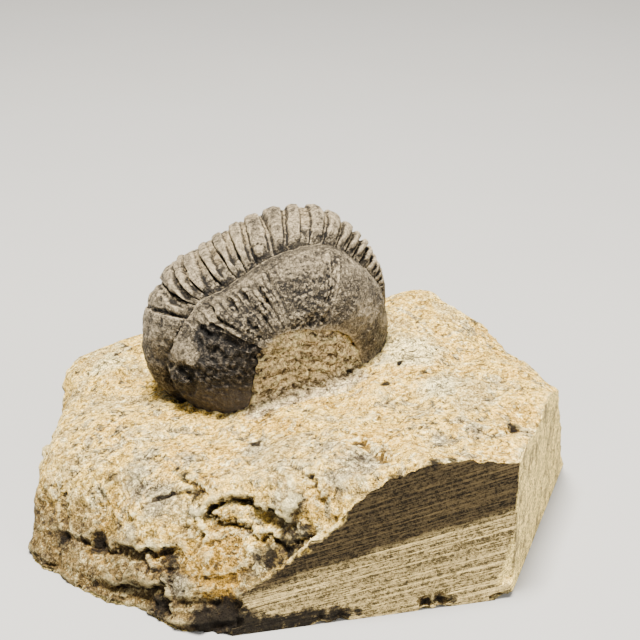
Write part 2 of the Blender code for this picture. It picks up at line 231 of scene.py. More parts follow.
# --------------------------------------------------------------------------- the view
@dataclass(frozen=True)
class Viewpoint:
    """The camera: what it looks at, from where, and where a point falls in its picture."""

    target: Place = (1.381, 5.758, 18.0)
    distance: float = 150.0
    elevation: float = math.radians(25.0)
    lens: float = 81.84
    sensor: float = 36.0
    picture: float = 640.0

    def turn(self) -> Matrix:
        """Give the camera's turn: it faces +Y and looks down by its elevation."""
        return Matrix.Rotation(math.pi / 2 - self.elevation, 3, "X")

    def place(self) -> Vector:
        """Give the camera's place in millimetres."""
        return Vector(self.target) + self.turn() @ Vector((0.0, 0.0, self.distance))

    def focal(self) -> float:
        """Give the focal length in pixels."""
        return self.lens / self.sensor * self.picture

    def hit(self, tree: BVHTree, pixel: Pixel) -> Vector | None:
        """Find what a pixel shows.

        Args:
            tree: the surface that is looked at, in metres.
            pixel: a place in the 640 by 640 picture.

        Returns:
            The point seen there in millimetres, or None where the surface is missed.
        """
        middle = self.picture / 2
        across, down = (pixel[0] - middle) / self.focal(), (pixel[1] - middle) / self.focal()
        way = self.turn() @ Vector((across, -down, -1.0))
        found = tree.ray_cast(self.place() * MM, way.normalized())[0]
        return found / MM if found else None

    def project(self, points: np.ndarray) -> np.ndarray:
        """Give the pixel at which each point falls."""
        local = (points - np.array(self.place())) @ np.array(self.turn())
        return self.picture / 2 + local[:, :2] * (1.0, -1.0) / -local[:, 2:] * self.focal()

    def build(self) -> None:
        """Add the camera and make it the scene's."""
        deselect()
        bpy.ops.object.camera_add(location=self.place() * MM, rotation=self.turn().to_euler())
        camera = bpy.context.object
        camera.name = "camera"
        camera.data.lens = self.lens
        camera.data.sensor_width = self.sensor
        camera.data.clip_start = 1.0 * MM
        bpy.context.scene.camera = camera


# ------------------------------------------------------------- node trees and shared effects
class Graph:
    """Adds nodes to a node tree and joins them."""

    def __init__(self, tree: bpy.types.NodeTree) -> None:
        """Start on a node tree."""
        self.tree = tree

    def node(self, kind: str, inputs: dict | None = None, **settings) -> bpy.types.Node:
        """Add a node.

        Args:
            kind: the node's type, without the ShaderNode in front.
            inputs: a value or a socket for each named or numbered input.
            settings: the node's own properties.

        Returns:
            The new node.
        """
        made = self.tree.nodes.new("ShaderNode" + kind)
        for key, value in settings.items():
            setattr(made, key, value)
        for key, value in (inputs or {}).items():
            if isinstance(value, bpy.types.NodeSocket):
                self.tree.links.new(value, made.inputs[key])
            else:
                made.inputs[key].default_value = value
        return made

    def calc(self, operation: str, first, second=0.0) -> Socket:
        """Add a Math node and give its result."""
        return self.node("Math", {0: first, 1: second}, operation=operation).outputs[0]

    def plus(self, first, second) -> Socket:
        """Add two numbers."""
        return self.calc("ADD", first, second)

    def minus(self, first, second) -> Socket:
        """Take the second number from the first."""
        return self.calc("SUBTRACT", first, second)

    def times(self, first, second) -> Socket:
        """Multiply two numbers."""
        return self.calc("MULTIPLY", first, second)

    def span(self, value, low: float, high: float, start=0.0, end=1.0) -> Socket:
        """Bring a value from one range smoothly into another."""
        inputs = {"Value": value, "From Min": low, "From Max": high,
                  "To Min": start, "To Max": end}
        return self.node("MapRange", inputs, interpolation_type="SMOOTHSTEP").outputs[0]

    def blend(self, share, first, second, way: str = "MIX") -> Socket:
        """Mix two colours by a share."""
        made = self.node("Mix", {0: share}, data_type="RGBA", blend_type=way)
        for key, value in ((6, first), (7, second)):
            if isinstance(value, Socket):
                self.tree.links.new(value, made.inputs[key])
            else:
                made.inputs[key].default_value = (*value, 1.0)
        return made.outputs[2]

    def paint(self, colour, over, share, strength: float = 1.0) -> Socket:
        """Lay a second colour over the first by a share of the given strength."""
        share = share if strength == 1.0 else self.times(share, strength)
        return self.blend(share, colour, over)

    def tint(self, colour, shade) -> Socket:
        """Multiply a colour by a number."""
        shade = self.node("CombineColor", {0: shade, 1: shade, 2: shade}).outputs[0]
        return self.blend(1.0, colour, shade, "MULTIPLY")

    def vector(self, operation: str, first, second=(0.0, 0.0, 0.0)) -> bpy.types.Node:
        """Add a Vector Math node."""
        return self.node("VectorMath", {0: first, 1: second}, operation=operation)

    def jostle(self, where, scale, amount: float) -> Socket:
        """Push places about by up to the amount, to make cells uneven."""
        wobble = self.node("TexNoise", {"Vector": where, "Scale": scale}).outputs[1]
        moved = self.vector("MULTIPLY_ADD", wobble, (amount,) * 3)
        self.tree.links.new(where, moved.inputs[2])
        return moved.outputs[0]

    def cloud(self, where, size: float, detail: float = 2.0, rough: float = 0.5,
              twist: float = 0.0) -> Socket:
        """Add a noise whose lumps have the given size in millimetres."""
        inputs = {"Vector": where, "Scale": 1.0 / size, "Detail": detail,
                  "Roughness": rough, "Distortion": twist}
        return self.node("TexNoise", inputs).outputs[0]

    def layer(self, name: str) -> Socket:
        """Read a value that the piece keeps at its points."""
        return self.node("Attribute", attribute_name=name).outputs["Fac"]

    def finish(self, colour, rough, height, depth: float, specular: float) -> None:
        """Lead a finish into the shader.

        Args:
            colour: the base colour's socket.
            rough: the roughness's socket.
            height: the fine relief's socket.
            depth: how far a height of 1 stands out, in millimetres.
            specular: the strength of the reflection.
        """
        shader = self.tree.nodes["Principled BSDF"]
        relief = self.node("Bump", {"Strength": 1.0, "Distance": depth * MM,
                                    "Height": height}).outputs[0]
        for name, value in (("Base Color", colour), ("Roughness", rough), ("Normal", relief)):
            self.tree.links.new(value, shader.inputs[name])
        shader.inputs["Specular IOR Level"].default_value = specular


class Effect(Enum):
    """The effects that both finishes share, by the names of their node groups."""

    GRAIN = "stone_grain"
    SPECKS = "mineral_specks"
    RAGGED = "ragged_patch"
    # hollows get dirt and painted shade, crests get wear and painted highlight
    HOLLOWS = "dirt_shade_wear_highlight"


class SharedEffects:
    """Builds the node groups that the finishes place with their own values."""

    def __init__(self) -> None:
        """Build each group once."""
        self.groups = {
            Effect.GRAIN: self.grain(),
            Effect.SPECKS: self.specks(),
            Effect.RAGGED: self.ragged(),
            Effect.HOLLOWS: self.dirt_shade_wear_highlight(),
        }

    @staticmethod
    def start(effect: Effect, inputs: dict, outputs: tuple) -> tuple[Graph, dict, dict]:
        """Start a group.

        Args:
            effect: which group it is.
            inputs: a starting value for each named input; a tuple makes it a vector.
            outputs: the names of its number outputs.

        Returns:
            The group's graph, its input sockets and its output sockets, by name.
        """
        tree = bpy.data.node_groups.new(effect.value, "ShaderNodeTree")
        for name, value in inputs.items():
            kind = "NodeSocketVector" if isinstance(value, tuple) else "NodeSocketFloat"
            socket = tree.interface.new_socket(name, in_out="INPUT", socket_type=kind)
            socket.default_value = value
        for name in outputs:
            tree.interface.new_socket(name, in_out="OUTPUT", socket_type="NodeSocketFloat")
        entry = tree.nodes.new("NodeGroupInput")
        leave = tree.nodes.new("NodeGroupOutput")
        return Graph(tree), dict(entry.outputs.items()), dict(leave.inputs.items())

    def grain(self) -> bpy.types.NodeTree:
        """Grains of two sizes, as a tone round 0.5 and as a height."""
        graph, given, out = self.start(
            Effect.GRAIN, {"Where": (0.0, 0.0, 0.0), "Size": 0.3}, ("Tone", "Height"))
        where, scale = given["Where"], graph.calc("DIVIDE", 1.0, given["Size"])
        coarse = graph.node("TexNoise", {"Vector": where, "Scale": graph.times(scale, 0.45),
                                         "Detail": 4.0, "Roughness": 0.7}).outputs[0]
        cells = graph.node("TexVoronoi", {"Vector": graph.jostle(where, scale, 0.12),
                                          "Scale": scale})
        own = graph.node("SeparateColor", {0: cells.outputs["Color"]}).outputs[0]
        fine = graph.node("TexNoise", {"Vector": where, "Scale": graph.times(scale, 1.7),
                                       "Detail": 2.0, "Roughness": 0.6}).outputs[0]
        tone = graph.plus(graph.times(own, 0.42), graph.times(graph.span(fine, 0.34, 0.66), 0.34))
        tone = graph.plus(tone, graph.times(graph.span(coarse, 0.36, 0.64), 0.24))
        height = graph.minus(graph.times(own, 0.5), graph.times(cells.outputs["Distance"], 0.7))
        height = graph.plus(graph.plus(height, coarse), graph.times(fine, 0.5))
        graph.tree.links.new(graph.span(tone, 0.12, 0.88), out["Tone"])
        graph.tree.links.new(height, out["Height"])
        return graph.tree

    def specks(self) -> bpy.types.NodeTree:
        """Scattered specks: Amount is the share of cells that hold one."""
        graph, given, out = self.start(
            Effect.SPECKS, {"Where": (0.0, 0.0, 0.0), "Size": 0.5, "Amount": 0.3}, ("Mask",))
        scale = graph.calc("DIVIDE", 1.0, given["Size"])
        moved = graph.jostle(given["Where"], graph.times(scale, 2.0), 0.35)
        cell = graph.node("TexVoronoi", {"Vector": moved, "Scale": scale})
        near = graph.span(cell.outputs["Distance"], 0.5, 0.18)
        chosen = graph.node("SeparateColor", {0: cell.outputs["Color"]}).outputs[0]
        held = graph.calc("LESS_THAN", chosen, given["Amount"])
        graph.tree.links.new(graph.times(near, held), out["Mask"])
        return graph.tree

    def ragged(self) -> bpy.types.NodeTree:
        """Give a soft mask a ragged edge of the given size."""
        graph, given, out = self.start(
            Effect.RAGGED, {"Where": (0.0, 0.0, 0.0), "Mask": 0.0, "Size": 2.0,
                            "Raggedness": 0.6}, ("Mask",))
        scale = graph.calc("DIVIDE", 1.0, given["Size"])
        torn = graph.node("TexNoise", {"Vector": given["Where"], "Scale": scale,
                                       "Detail": 5.0, "Roughness": 0.68}).outputs[0]
        push = graph.times(graph.times(graph.minus(torn, 0.5), given["Raggedness"]), 2.0)
        torn = graph.span(graph.plus(given["Mask"], push), 0.25, 0.75)
        graph.tree.links.new(torn, out["Mask"])
        return graph.tree

    def dirt_shade_wear_highlight(self) -> bpy.types.NodeTree:
        """Part the hollows, which get dirt and painted shade, from the crests, which get wear and
        painted highlight.
        """
        graph, given, out = self.start(
            Effect.HOLLOWS, {"Hollow": 0.0, "Tone": 0.5, "Reach": 0.1}, ("DirtShade", "WearHighlight"))
        share = graph.calc("DIVIDE", given["Hollow"], given["Reach"])
        shift = graph.times(graph.minus(given["Tone"], 0.5), 0.7)
        depth = graph.minus(share, shift)
        graph.tree.links.new(graph.span(depth, 0.05, 1.0), out["DirtShade"])
        graph.tree.links.new(graph.span(graph.times(depth, -1.0), 0.05, 1.0), out["WearHighlight"])
        return graph.tree

    def use(self, graph: Graph, effect: Effect, inputs: dict) -> bpy.types.Node:
        """Place a group in a material.

        Args:
            graph: the material's graph.
            effect: which group.
            inputs: its values in this place.

        Returns:
            The group's node.
        """
        made = graph.tree.nodes.new("ShaderNodeGroup")
        made.node_tree = self.groups[effect]
        for key, value in inputs.items():
            if isinstance(value, Socket):
                graph.tree.links.new(value, made.inputs[key])
            else:
                made.inputs[key].default_value = value
        return made

    def torn(self, graph: Graph, where, mask, size: float, raggedness: float) -> Socket:
        """Place the ragged patch and give its mask."""
        return self.use(graph, Effect.RAGGED, {
            "Where": where, "Mask": mask, "Size": size, "Raggedness": raggedness}).outputs[0]

    def speckled(self, graph: Graph, where, size: float, amount: float) -> Socket:
        """Place the specks and give their mask."""
        return self.use(graph, Effect.SPECKS, {
            "Where": where, "Size": size, "Amount": amount}).outputs[0]

    def hollow_and_crest_masks(self, graph: Graph, hollow: str, tone, reach: float) -> tuple:
        """Place the dirt and painted shade of a kept hollow and the wear and painted highlight of
        its crests, and give both masks.
        """
        return tuple(self.use(graph, Effect.HOLLOWS, {
            "Hollow": graph.layer(hollow), "Tone": tone, "Reach": reach}).outputs)


def start_material(name: str) -> tuple[bpy.types.Material, Graph, Socket]:
    """Start a material.

    Args:
        name: the finish's name.

    Returns:
        The material, its graph, and the place on the piece in millimetres.
    """
    material = bpy.data.materials.new(name)
    material.use_nodes = True
    graph = Graph(material.node_tree)
    spot = graph.node("TexCoord").outputs["Object"]
    where = graph.node("VectorMath", {0: spot, "Scale": 1.0 / MM}, operation="SCALE")
    return material, graph, where.outputs[0]


# -------------------------------------------------------------------------- the trilobite
def profile(pairs: Pairs, angle: float) -> float:
    """Read a profile at an angle, as a smooth curve through its pairs."""
    points = sorted(pairs)
    if angle <= points[0][0]:
        return points[0][1]
    if angle >= points[-1][0]:
        return points[-1][1]
    i = next(k for k in range(len(points) - 1) if angle <= points[k + 1][0])
    before, after = points[max(i - 1, 0)], points[min(i + 2, len(points) - 1)]
    (a0, v0), (a1, v1) = points[i], points[i + 1]
    slope0 = (v1 - before[1]) / (a1 - before[0])
    slope1 = (after[1] - v0) / (after[0] - a0)
    width = a1 - a0
    t = (angle - a0) / width
    return ((2 * t ** 3 - 3 * t ** 2 + 1) * v0 + (t ** 3 - 2 * t ** 2 + t) * slope0 * width
            + (3 * t ** 2 - 2 * t ** 3) * v1 + (t ** 3 - t ** 2) * slope1 * width)


def arch(share: np.ndarray, fullness: float = 0.5) -> np.ndarray:
    """Give a round arch over the shares from 0 to 1, and 0 outside them."""
    return np.clip(1.0 - (2.0 * share - 1.0) ** 2, 0.0, 1.0) ** fullness


@dataclass(frozen=True)
class FossilFinish:
    """Dark grey calcite of the animal's shell, pale on its crests from wear and painted highlight,
    darkened by painted shade in its hollows, grooves and recesses, with tan rock in it.
    """

    body: Colour = (0.030, 0.0245, 0.017)
    crest: Colour = (0.225, 0.185, 0.120)
    light: Colour = (0.30, 0.25, 0.165)
    dark: Colour = (0.0045, 0.0036, 0.0028)
    cheek: Colour = (0.0030, 0.0024, 0.0020)
    glint: Colour = (0.110, 0.092, 0.070)
    lower_head: Colour = (0.050, 0.043, 0.040)
    fill: Colour = (0.20, 0.155, 0.088)

    def material(self, effects: SharedEffects) -> bpy.types.Material:
        """Build the finish."""
        material, graph, where = start_material("fossil_calcite")
        layer, paint = graph.layer, graph.paint
        tone, grain = effects.use(graph, Effect.GRAIN, {"Where": where, "Size": 0.2}).outputs
        broad = graph.cloud(where, 2.4, detail=5.0, rough=0.62)
        patch = graph.cloud(where, 0.9, detail=4.0, rough=0.65)
        flake = graph.cloud(where, 0.42, detail=4.0, rough=0.76, twist=1.6)
        # Hollows take dirt and painted shade; crests take wear and a painted highlight in the
        # crest colour.
        fine_dirt_shade, fine_wear_highlight = effects.hollow_and_crest_masks(graph, "hollow_fine", tone, 0.035)
        wide_dirt_shade, wide_wear_highlight = effects.hollow_and_crest_masks(graph, "hollow_wide", patch, 0.3)
        off_edge = graph.span(layer("edge"), 0.0, 1.0, 1.0, 0.15)
        # Dark flecks gather in the hollows as more painted shade, light flecks on the crests as
        # more painted highlight.
        biased = graph.minus(flake, graph.times(layer("hollow_fine"), 1.5))
        packed = effects.torn(graph, where, graph.times(layer("band"), layer("fill")), 0.5, 0.5)
        # Painted shade on the lower lobe.
        lobe_shade = effects.torn(graph, where, layer("shade"), 0.8, 0.8)
        # Wide hollows take painted shade, and tan rock where rock fills them.
        pit = graph.blend(layer("fill"), self.dark, self.fill)
        colour = graph.blend(graph.span(broad, 0.40, 0.66, 0.0, 0.6), self.body, self.crest)
        # Painted shade darkens the recesses beside the slabs and the grooves between the rings.
        for over, share, strength in (
                (self.dark, graph.times(layer("band"), layer("recess_shade")), 0.8),
                (self.fill, packed, 0.6), (self.dark, layer("groove"), 0.7),
                (self.crest, graph.times(wide_wear_highlight, off_edge), 0.7), (self.dark, lobe_shade, 0.85),
                (pit, wide_dirt_shade, 0.85), (self.dark, fine_dirt_shade, 0.8),
                (self.crest, graph.times(fine_wear_highlight, off_edge), 0.6),
                (self.crest, layer("worn_highlight"), 0.7),
                (self.light, graph.span(biased, 0.57, 0.62, 0.0, 0.5), 1.0),
                (self.dark, graph.span(biased, 0.44, 0.39, 0.0, 0.7), 1.0)):
            colour = paint(colour, over, share, strength)
        colour = graph.tint(colour, graph.span(tone, 0.0, 1.0, 0.5, 1.5))
        # The black cheek is partly the shell's own colour and partly painted shade; its glints are
        # painted highlights.
        black = graph.blend(layer("lower_head"), self.cheek, self.lower_head)
        for share, strength in (
                (fine_wear_highlight, 0.35), (effects.speckled(graph, where, 0.26, 0.16), 0.5),
                (graph.span(biased, 0.58, 0.63, 0.0, 0.7), 1.0)):
            black = paint(black, self.glint, share, strength)
        cheek = effects.torn(graph, where, layer("cheek"), 0.8, 0.75)
        colour = paint(colour, black, cheek, 0.94)
        crumbs = graph.times(effects.speckled(graph, where, 0.3, 0.35), layer("crumbs"))
        colour = paint(colour, self.fill, crumbs, 0.8)
        height = graph.plus(graph.times(grain, 0.7),
                            graph.times(graph.cloud(where, 0.9, detail=6.0, rough=0.72), 3.2))
        swirl = graph.plus(graph.times(layer("eye"), 34.0),
                           graph.times(graph.cloud(where, 0.9, detail=3.0), 9.0))
        swirl = graph.times(graph.calc("SINE", swirl), 0.55)
        height = graph.plus(height, graph.times(swirl, graph.span(layer("eye"), 1.8, 1.3)))
        graph.finish(colour, graph.span(tone, 0.0, 1.0, 0.75, 0.48), height, 0.2, 0.18)
        return material


@dataclass(frozen=True)
class Ring:
    """A ring of the axis, counted from the head, and the groove before it.

    crest and furrow are the groove's angles on the middle line and at the axial furrow.
    slab_crest and slab_furrow are the shares of the ring that its raised slab takes at
    those places.  wide is the share that the groove takes, groove its further depth, and
    fill how much of it rock fills over the top.
    """

    crest: float
    furrow: float
    slab_crest: float = 0.82
    slab_furrow: float = 0.7
    wide: float = 0.12
    groove: float = 0.5
    fill: float = 0.2


@dataclass
class Trilobite:
    """The animal, rolled up on its belly round an axis across its curl.

    A place on it is an angle round the curl, a radius, and a width across the plane of
    symmetry.  Its profiles are pairs of an angle in degrees and a size in millimetres.
    """

    node: str = "trilobite"
    name: str = "enrolled_trilobite"
    curl_centre: Place = (-3.679, 7.098, 17.0)
    curl_yaw: float = math.radians(20.0)
    head_end: float = 229.0
    tail_end: float = -31.0
    rings: tuple[Ring, ...] = (
        Ring(164.5, 159.5, 0.86, 0.60, 0.34, 0.2, 0.0),
        Ring(152.8, 150.8, 0.92, 0.30, 0.24, 0.85, 0.1),
        Ring(144.6, 147.5, 0.80, 0.55, 0.12, 0.5, 0.5),
        Ring(139.6, 143.6, 0.74, 0.48, 0.14, 0.6, 0.7),
        Ring(131.3, 133.7, 0.68, 0.42, 0.20, 1.5, 0.85),
        Ring(122.3, 123.6, 0.66, 0.40, 0.16, 1.1, 0.6),
        Ring(112.5, 116.0, 0.74, 0.62, 0.22, 1.3, 0.4),
        Ring(103.2, 108.0, 0.86, 0.78, 0.12, 0.8, 0.1),
        Ring(92.8, 95.7, 0.84, 0.78, 0.26, 1.0, 0.1),
        Ring(81.7, 88.0, 0.56, 0.60, 0.12, 0.5, 0.3),
        Ring(70.4, 75.0, 0.74, 0.78, 0.10, 0.5, 0.3),
        Ring(61.5, 67.0, 0.82, 0.80, 0.14, 0.8, 0.2),
        Ring(52.3, 59.0, 0.80, 0.66, 0.22, 1.2, 0.1),
        Ring(44.5, 53.0, 0.78, 0.64, 0.26, 1.2, 0.0),
        Ring(39.0, 47.0, 0.78, 0.66, 0.28, 1.3, 0.0),
        Ring(34.5, 40.5, 0.80, 0.70, 0.30, 1.2, 0.0),
        Ring(30.0, 34.5, 0.80, 0.72, 0.30, 1.1, 0.0),
        Ring(26.0, 29.5, 0.82, 0.76, 0.30, 0.9, 0.0),
        Ring(22.5, 25.0, 0.84, 0.80, 0.30, 0.7, 0.0),
        Ring(19.0, 21.0, 0.88, 0.84, 0.26, 0.3, 0.0),
        Ring(15.5, 17.0, 0.90, 0.86, 0.30, 0.2, 0.0),
    )
    crest_radius: Pairs = (
        (229, 10.9), (215, 12.6), (204, 13.2), (190, 13.7), (176, 13.6), (162, 13.2),
        (148, 12.8), (134, 11.7), (120, 11.3), (105, 11.55), (84, 12.3), (64, 13.25),
        (40, 13.1), (20, 12.85), (5, 12.5), (-10, 12.1), (-31, 11.4))
    margin_radius: Pairs = (
        (229, 7.4), (210, 5.75), (195, 5.0), (180, 4.65), (155, 4.8), (125, 4.5),
        (95, 3.9), (70, 3.7), (45, 4.3), (20, 5.4), (0, 6.3), (-15, 7.3), (-31, 9.3))
    half_width: Pairs = (
        (229, 8.2), (215, 9.0), (195, 9.8), (165, 10.1), (120, 10.3), (80, 10.3),
        (45, 9.8), (20, 9.0), (0, 8.2), (-15, 7.6), (-31, 7.0))
    axis_half_width: Pairs = (
        (229, 1.8), (212, 2.2), (195, 2.6), (183, 3.2), (172, 4.0), (160, 4.2), (100, 4.2),
        (60, 4.1), (40, 3.6), (20, 2.7), (5, 1.8), (-10, 1.2), (-31, 1.0))
    axis_height: Pairs = (
        (229, 0.5), (212, 1.0), (198, 1.25), (186, 1.5), (175, 1.9), (164, 2.3), (100, 2.3),
        (60, 2.3), (40, 2.1), (20, 1.5), (5, 0.9), (-10, 0.35), (-31, 0.1))
    stations: int = 480
    axis_points: int = 24
    side_points: int = 64
    belly_points: int = 20
    ring_depth: float = 0.85
    rib_depth: float = 0.5
    rib_step: float = 10.4
    rib_strength: Pairs = (
        (175, 0.6), (150, 1.1), (125, 1.1), (108, 0.9), (95, 0.4), (82, 0.1), (74, 0.12),
        (69, 0.5), (58, 0.45), (50, 0.12), (20, 0.08))
    cheek_outline: tuple[Pixel, ...] = (
        (197, 326), (213, 323), (223, 331), (236, 335), (250, 333), (262, 338), (264, 375),
        (258, 396), (238, 404), (215, 408), (190, 402), (174, 392), (164, 380), (168, 370),
        (180, 365), (197, 366), (199, 352), (190, 340))
    chin: Pixel = (150.0, 384.0)
    knob: Pixel = (258.5, 250.5)
    button: Pixel = (328.5, 257.0)
    lid: Pixel = (182.0, 359.0)
    eye: Pixel = (183.0, 378.0)
    uneven: Waves = ((1.9, 3.1, 0.11), (0.9, 8.4, 0.08))
    grit: Waves = ((0.6, 1.7, 0.08), (0.32, 5.2, 0.04))
    finish: FossilFinish = FossilFinish()

    def sections(self) -> dict[str, np.ndarray]:
        """Work out every point's place in the curl, section by section.

        Returns:
            Arrays of one row for each station: angle, radius, across, side (0 on the
            middle line, 1 at the axial furrow, 2 at the margin, 3 on the belly) and axis.
        """
        angles = np.linspace(self.head_end, self.tail_end, self.stations)
        sizes = {key: np.array([profile(pairs, a) for a in angles])[:, None]
                 for key, pairs in (("crest", self.crest_radius),
                                    ("margin", self.margin_radius),
                                    ("width", self.half_width),
                                    ("axis", self.axis_half_width),
                                    ("height", self.axis_height))}
        on_axis = np.sin(np.linspace(0.0, math.pi / 2, self.axis_points, endpoint=False))
        turns = np.linspace(0.0, math.pi / 2, self.side_points)
        shoulder = sizes["crest"] - sizes["height"]
        soft = ease((angles - 168.0) / 14.0)[:, None]
        drop = (1 - soft) * (1 - np.sqrt(1 - on_axis ** 2.4)) + soft * on_axis ** 2
        axis_radius = sizes["crest"] - sizes["height"] * drop
        side_across = sizes["axis"] + (sizes["width"] - sizes["axis"]) * np.sin(turns)
        side_radius = shoulder - (shoulder - sizes["margin"]) * (1 - np.cos(turns))
        radius = np.concatenate((axis_radius, side_radius), axis=1)
        across = np.concatenate((sizes["axis"] * on_axis, side_across), axis=1)
        side = np.concatenate((on_axis, 1.0 + turns / (math.pi / 2)))
        side = np.broadcast_to(side, radius.shape)
        belly = np.linspace(1.0, -1.0, self.belly_points + 2)[1:-1]
        ones = np.ones(self.belly_points)
        whole = {
            "radius": np.concatenate((radius[:, ::-1], radius[:, 1:],
                                      sizes["margin"] * ones), axis=1),
            "across": np.concatenate((across[:, ::-1], -across[:, 1:],
                                      -sizes["width"] * belly), axis=1),
            "side": np.concatenate((side[:, ::-1], side[:, 1:],
                                    np.full((self.stations, self.belly_points), 3.0)), axis=1),
        }
        whole["angle"] = np.broadcast_to(angles[:, None], whole["radius"].shape)
        whole["axis"] = np.broadcast_to(sizes["axis"], whole["radius"].shape)
        return whole

    def place(self, angle: np.ndarray, radius: np.ndarray, across: np.ndarray) -> np.ndarray:
        """Place points of the curl in the model, in millimetres."""
        turn = np.radians(angle)
        along, up = radius * np.cos(turn), radius * np.sin(turn)
        cos_yaw, sin_yaw = math.cos(self.curl_yaw), math.sin(self.curl_yaw)
        centre = self.curl_centre
        return np.stack((centre[0] + along * cos_yaw + across * sin_yaw,
                         centre[1] + along * sin_yaw - across * cos_yaw,
                         centre[2] + up), axis=-1)

    def ring_values(self, at: dict[str, np.ndarray]) -> dict[str, np.ndarray]:
        """Find which ring each point lies on and read that ring's sizes there.

        Returns:
            Arrays of the phase, which runs from 0 to 1 over a ring and is -1 off the
            rings, and of the ring's slab, wide, groove and fill.
        """
        angle = at["angle"] + swell(at["spots"], 1.3, 7.2) * 0.55
        sloped = np.clip(at["side"], 0.0, 1.0) * np.sign(at["across"])
        near = np.clip(sloped, 0.0, 1.0)
        found = {key: np.zeros(angle.shape) for key in ("slab", "wide", "groove", "fill")}
        found["phase"] = np.full(angle.shape, -1.0)
        for ring, after in zip(self.rings, self.rings[1:]):
            start = ring.crest + (ring.furrow - ring.crest) * sloped
            stop = after.crest + (after.furrow - after.crest) * sloped
            here = (angle <= start) & (angle > stop)
            slab = ring.slab_crest + (ring.slab_furrow - ring.slab_crest) * near
            values = {"phase": (start - angle) / (start - stop), "slab": slab,
                      "wide": ring.wide * (0.6 + 0.4 * near), "groove": ring.groove,
                      "fill": ring.fill}
            for key, value in values.items():
                found[key] = np.where(here, value, found[key])
        return found

    def relief(self, at: dict[str, np.ndarray]) -> np.ndarray:
        """Give how far the shell stands out from its plain sections."""
        angle, side = at["angle"], at["side"]
        ring = self.ring_values(at)
        phase, spots = ring["phase"], at["spots"]
        ringed = phase >= 0.0
        rise = ease(phase / ring["wide"])
        edge = ease((ring["slab"] - phase) / 0.08)
        end = 1.0 - ease((side - 0.84) / 0.1)
        band = 0.26 + 0.12 * swell(spots, 0.9, 2.2)
        slab = edge * end * (0.62 + 0.38 * arch(phase / ring["slab"], 0.6))
        streaks = swell(np.stack((phase * 5.0, side * 1.6, angle * 0.3), axis=-1),
                        1.0, 3.0)
        slab = slab * (1.0 + 0.1 * streaks)
        band = band * (1.0 - 0.55 * ease((side - 0.86) / 0.1))
        level = rise * (band + (1.0 - band) * slab) * (0.4 + 0.6 * ease((1.0 - phase) / 0.05))
        at["band"] = ringed * (1.0 - edge * end * rise) * (1.0 - ease((side - 1.0) / 0.2))
        top = ease((0.22 - side * np.sign(at["across"])) / 0.3)
        packed = ring["fill"] * top
        level = np.maximum(level, packed * 0.85)
        groove = bump(phase - 0.4 * ring["wide"], ring["wide"] * 0.8) * ring["groove"]
        groove = groove * (1.0 - packed) * (0.45 + 0.75 * side ** 2)
        groove = groove * np.clip(0.85 + 0.8 * swell(spots, 1.1, 5.6), 0.2, 1.3)
        at["edge"] = bump(side - 1.04, 0.11) * ease((152.0 - angle) / 8.0)
        # The groove mask is kept for the finish, which paints shade into the grooves.
        at["groove"] = np.where(ringed & (side < 1.0), np.clip(groove, 0.0, 1.0), 0.0)
        fade = np.clip((angle - 4.0) / 30.0, 0.3, 1.0)
        fade = fade * (1.0 - 0.6 * bump(angle - self.rings[0].crest, 7.0))
        axis_form = ((level - 1.0) * (0.75 + 0.3 * side) - 0.42 * groove) * self.ring_depth * fade
        wedge = bump(angle - self.rings[1].crest + 1.5, 2.8) * bump(side - 0.3, 0.7)
        axis_form = np.where(ringed, axis_form - 0.25 * wedge, 0.0)
        turn = np.clip(side - 1.0, 0.0, 1.0)
        strength = np.array([profile(self.rib_strength, a) for a in angle[:, 0]])[:, None]
        share = ((168.0 - angle + 2.2 * swell(spots, 2.1, 4.1)) / self.rib_step) % 1.0
        rib = -bump(np.minimum(share, 1.0 - share), 0.24) - 0.5 * bump(share - 0.56, 0.14)
        crown = 0.5 * (arch(share, 0.8) - 1.0)
        uneven = np.clip(0.75 + 0.9 * swell(spots, 2.2, 6.3), 0.15, 1.5)
        lines = 0.5 - 0.5 * np.cos(angle * math.tau / 2.9 + 1.4 * swell(spots, 1.6, 9.3))
        lines = lines * bump(angle - 63.0, 11.0) * ease((turn - 0.2) / 0.15)
        rib_form = (rib + crown) * uneven * strength * ease((turn - 0.03) / 0.2) - 0.45 * lines
        rib_form = np.where(ringed, rib_form, 0.0) * self.rib_depth
        rib_form = rib_form * (0.45 + 0.55 * np.cos(turn * math.pi / 2))
        form = np.where(side < 1.0, axis_form, rib_form)
        form = form - 0.2 * self.ring_depth * ringed * bump(side - 0.98, 0.2)
        ridge = 0.7 * bump(side - 1.02, 0.09) * ease((angle - 140.0) / 5.0)
        ridge = ridge * ease((176.0 - angle) / 6.0)
        welt = bump(side - 1.28 - (angle - 40.0) * 0.004, 0.16) * ease((angle - 18.0) / 8.0)
        welt = welt * ease((60.0 - angle) / 6.0)
        form = form + 0.3 * ridge + 0.14 * welt
        return np.where(side > 2.5, 0.0, form + self.head_relief(at))

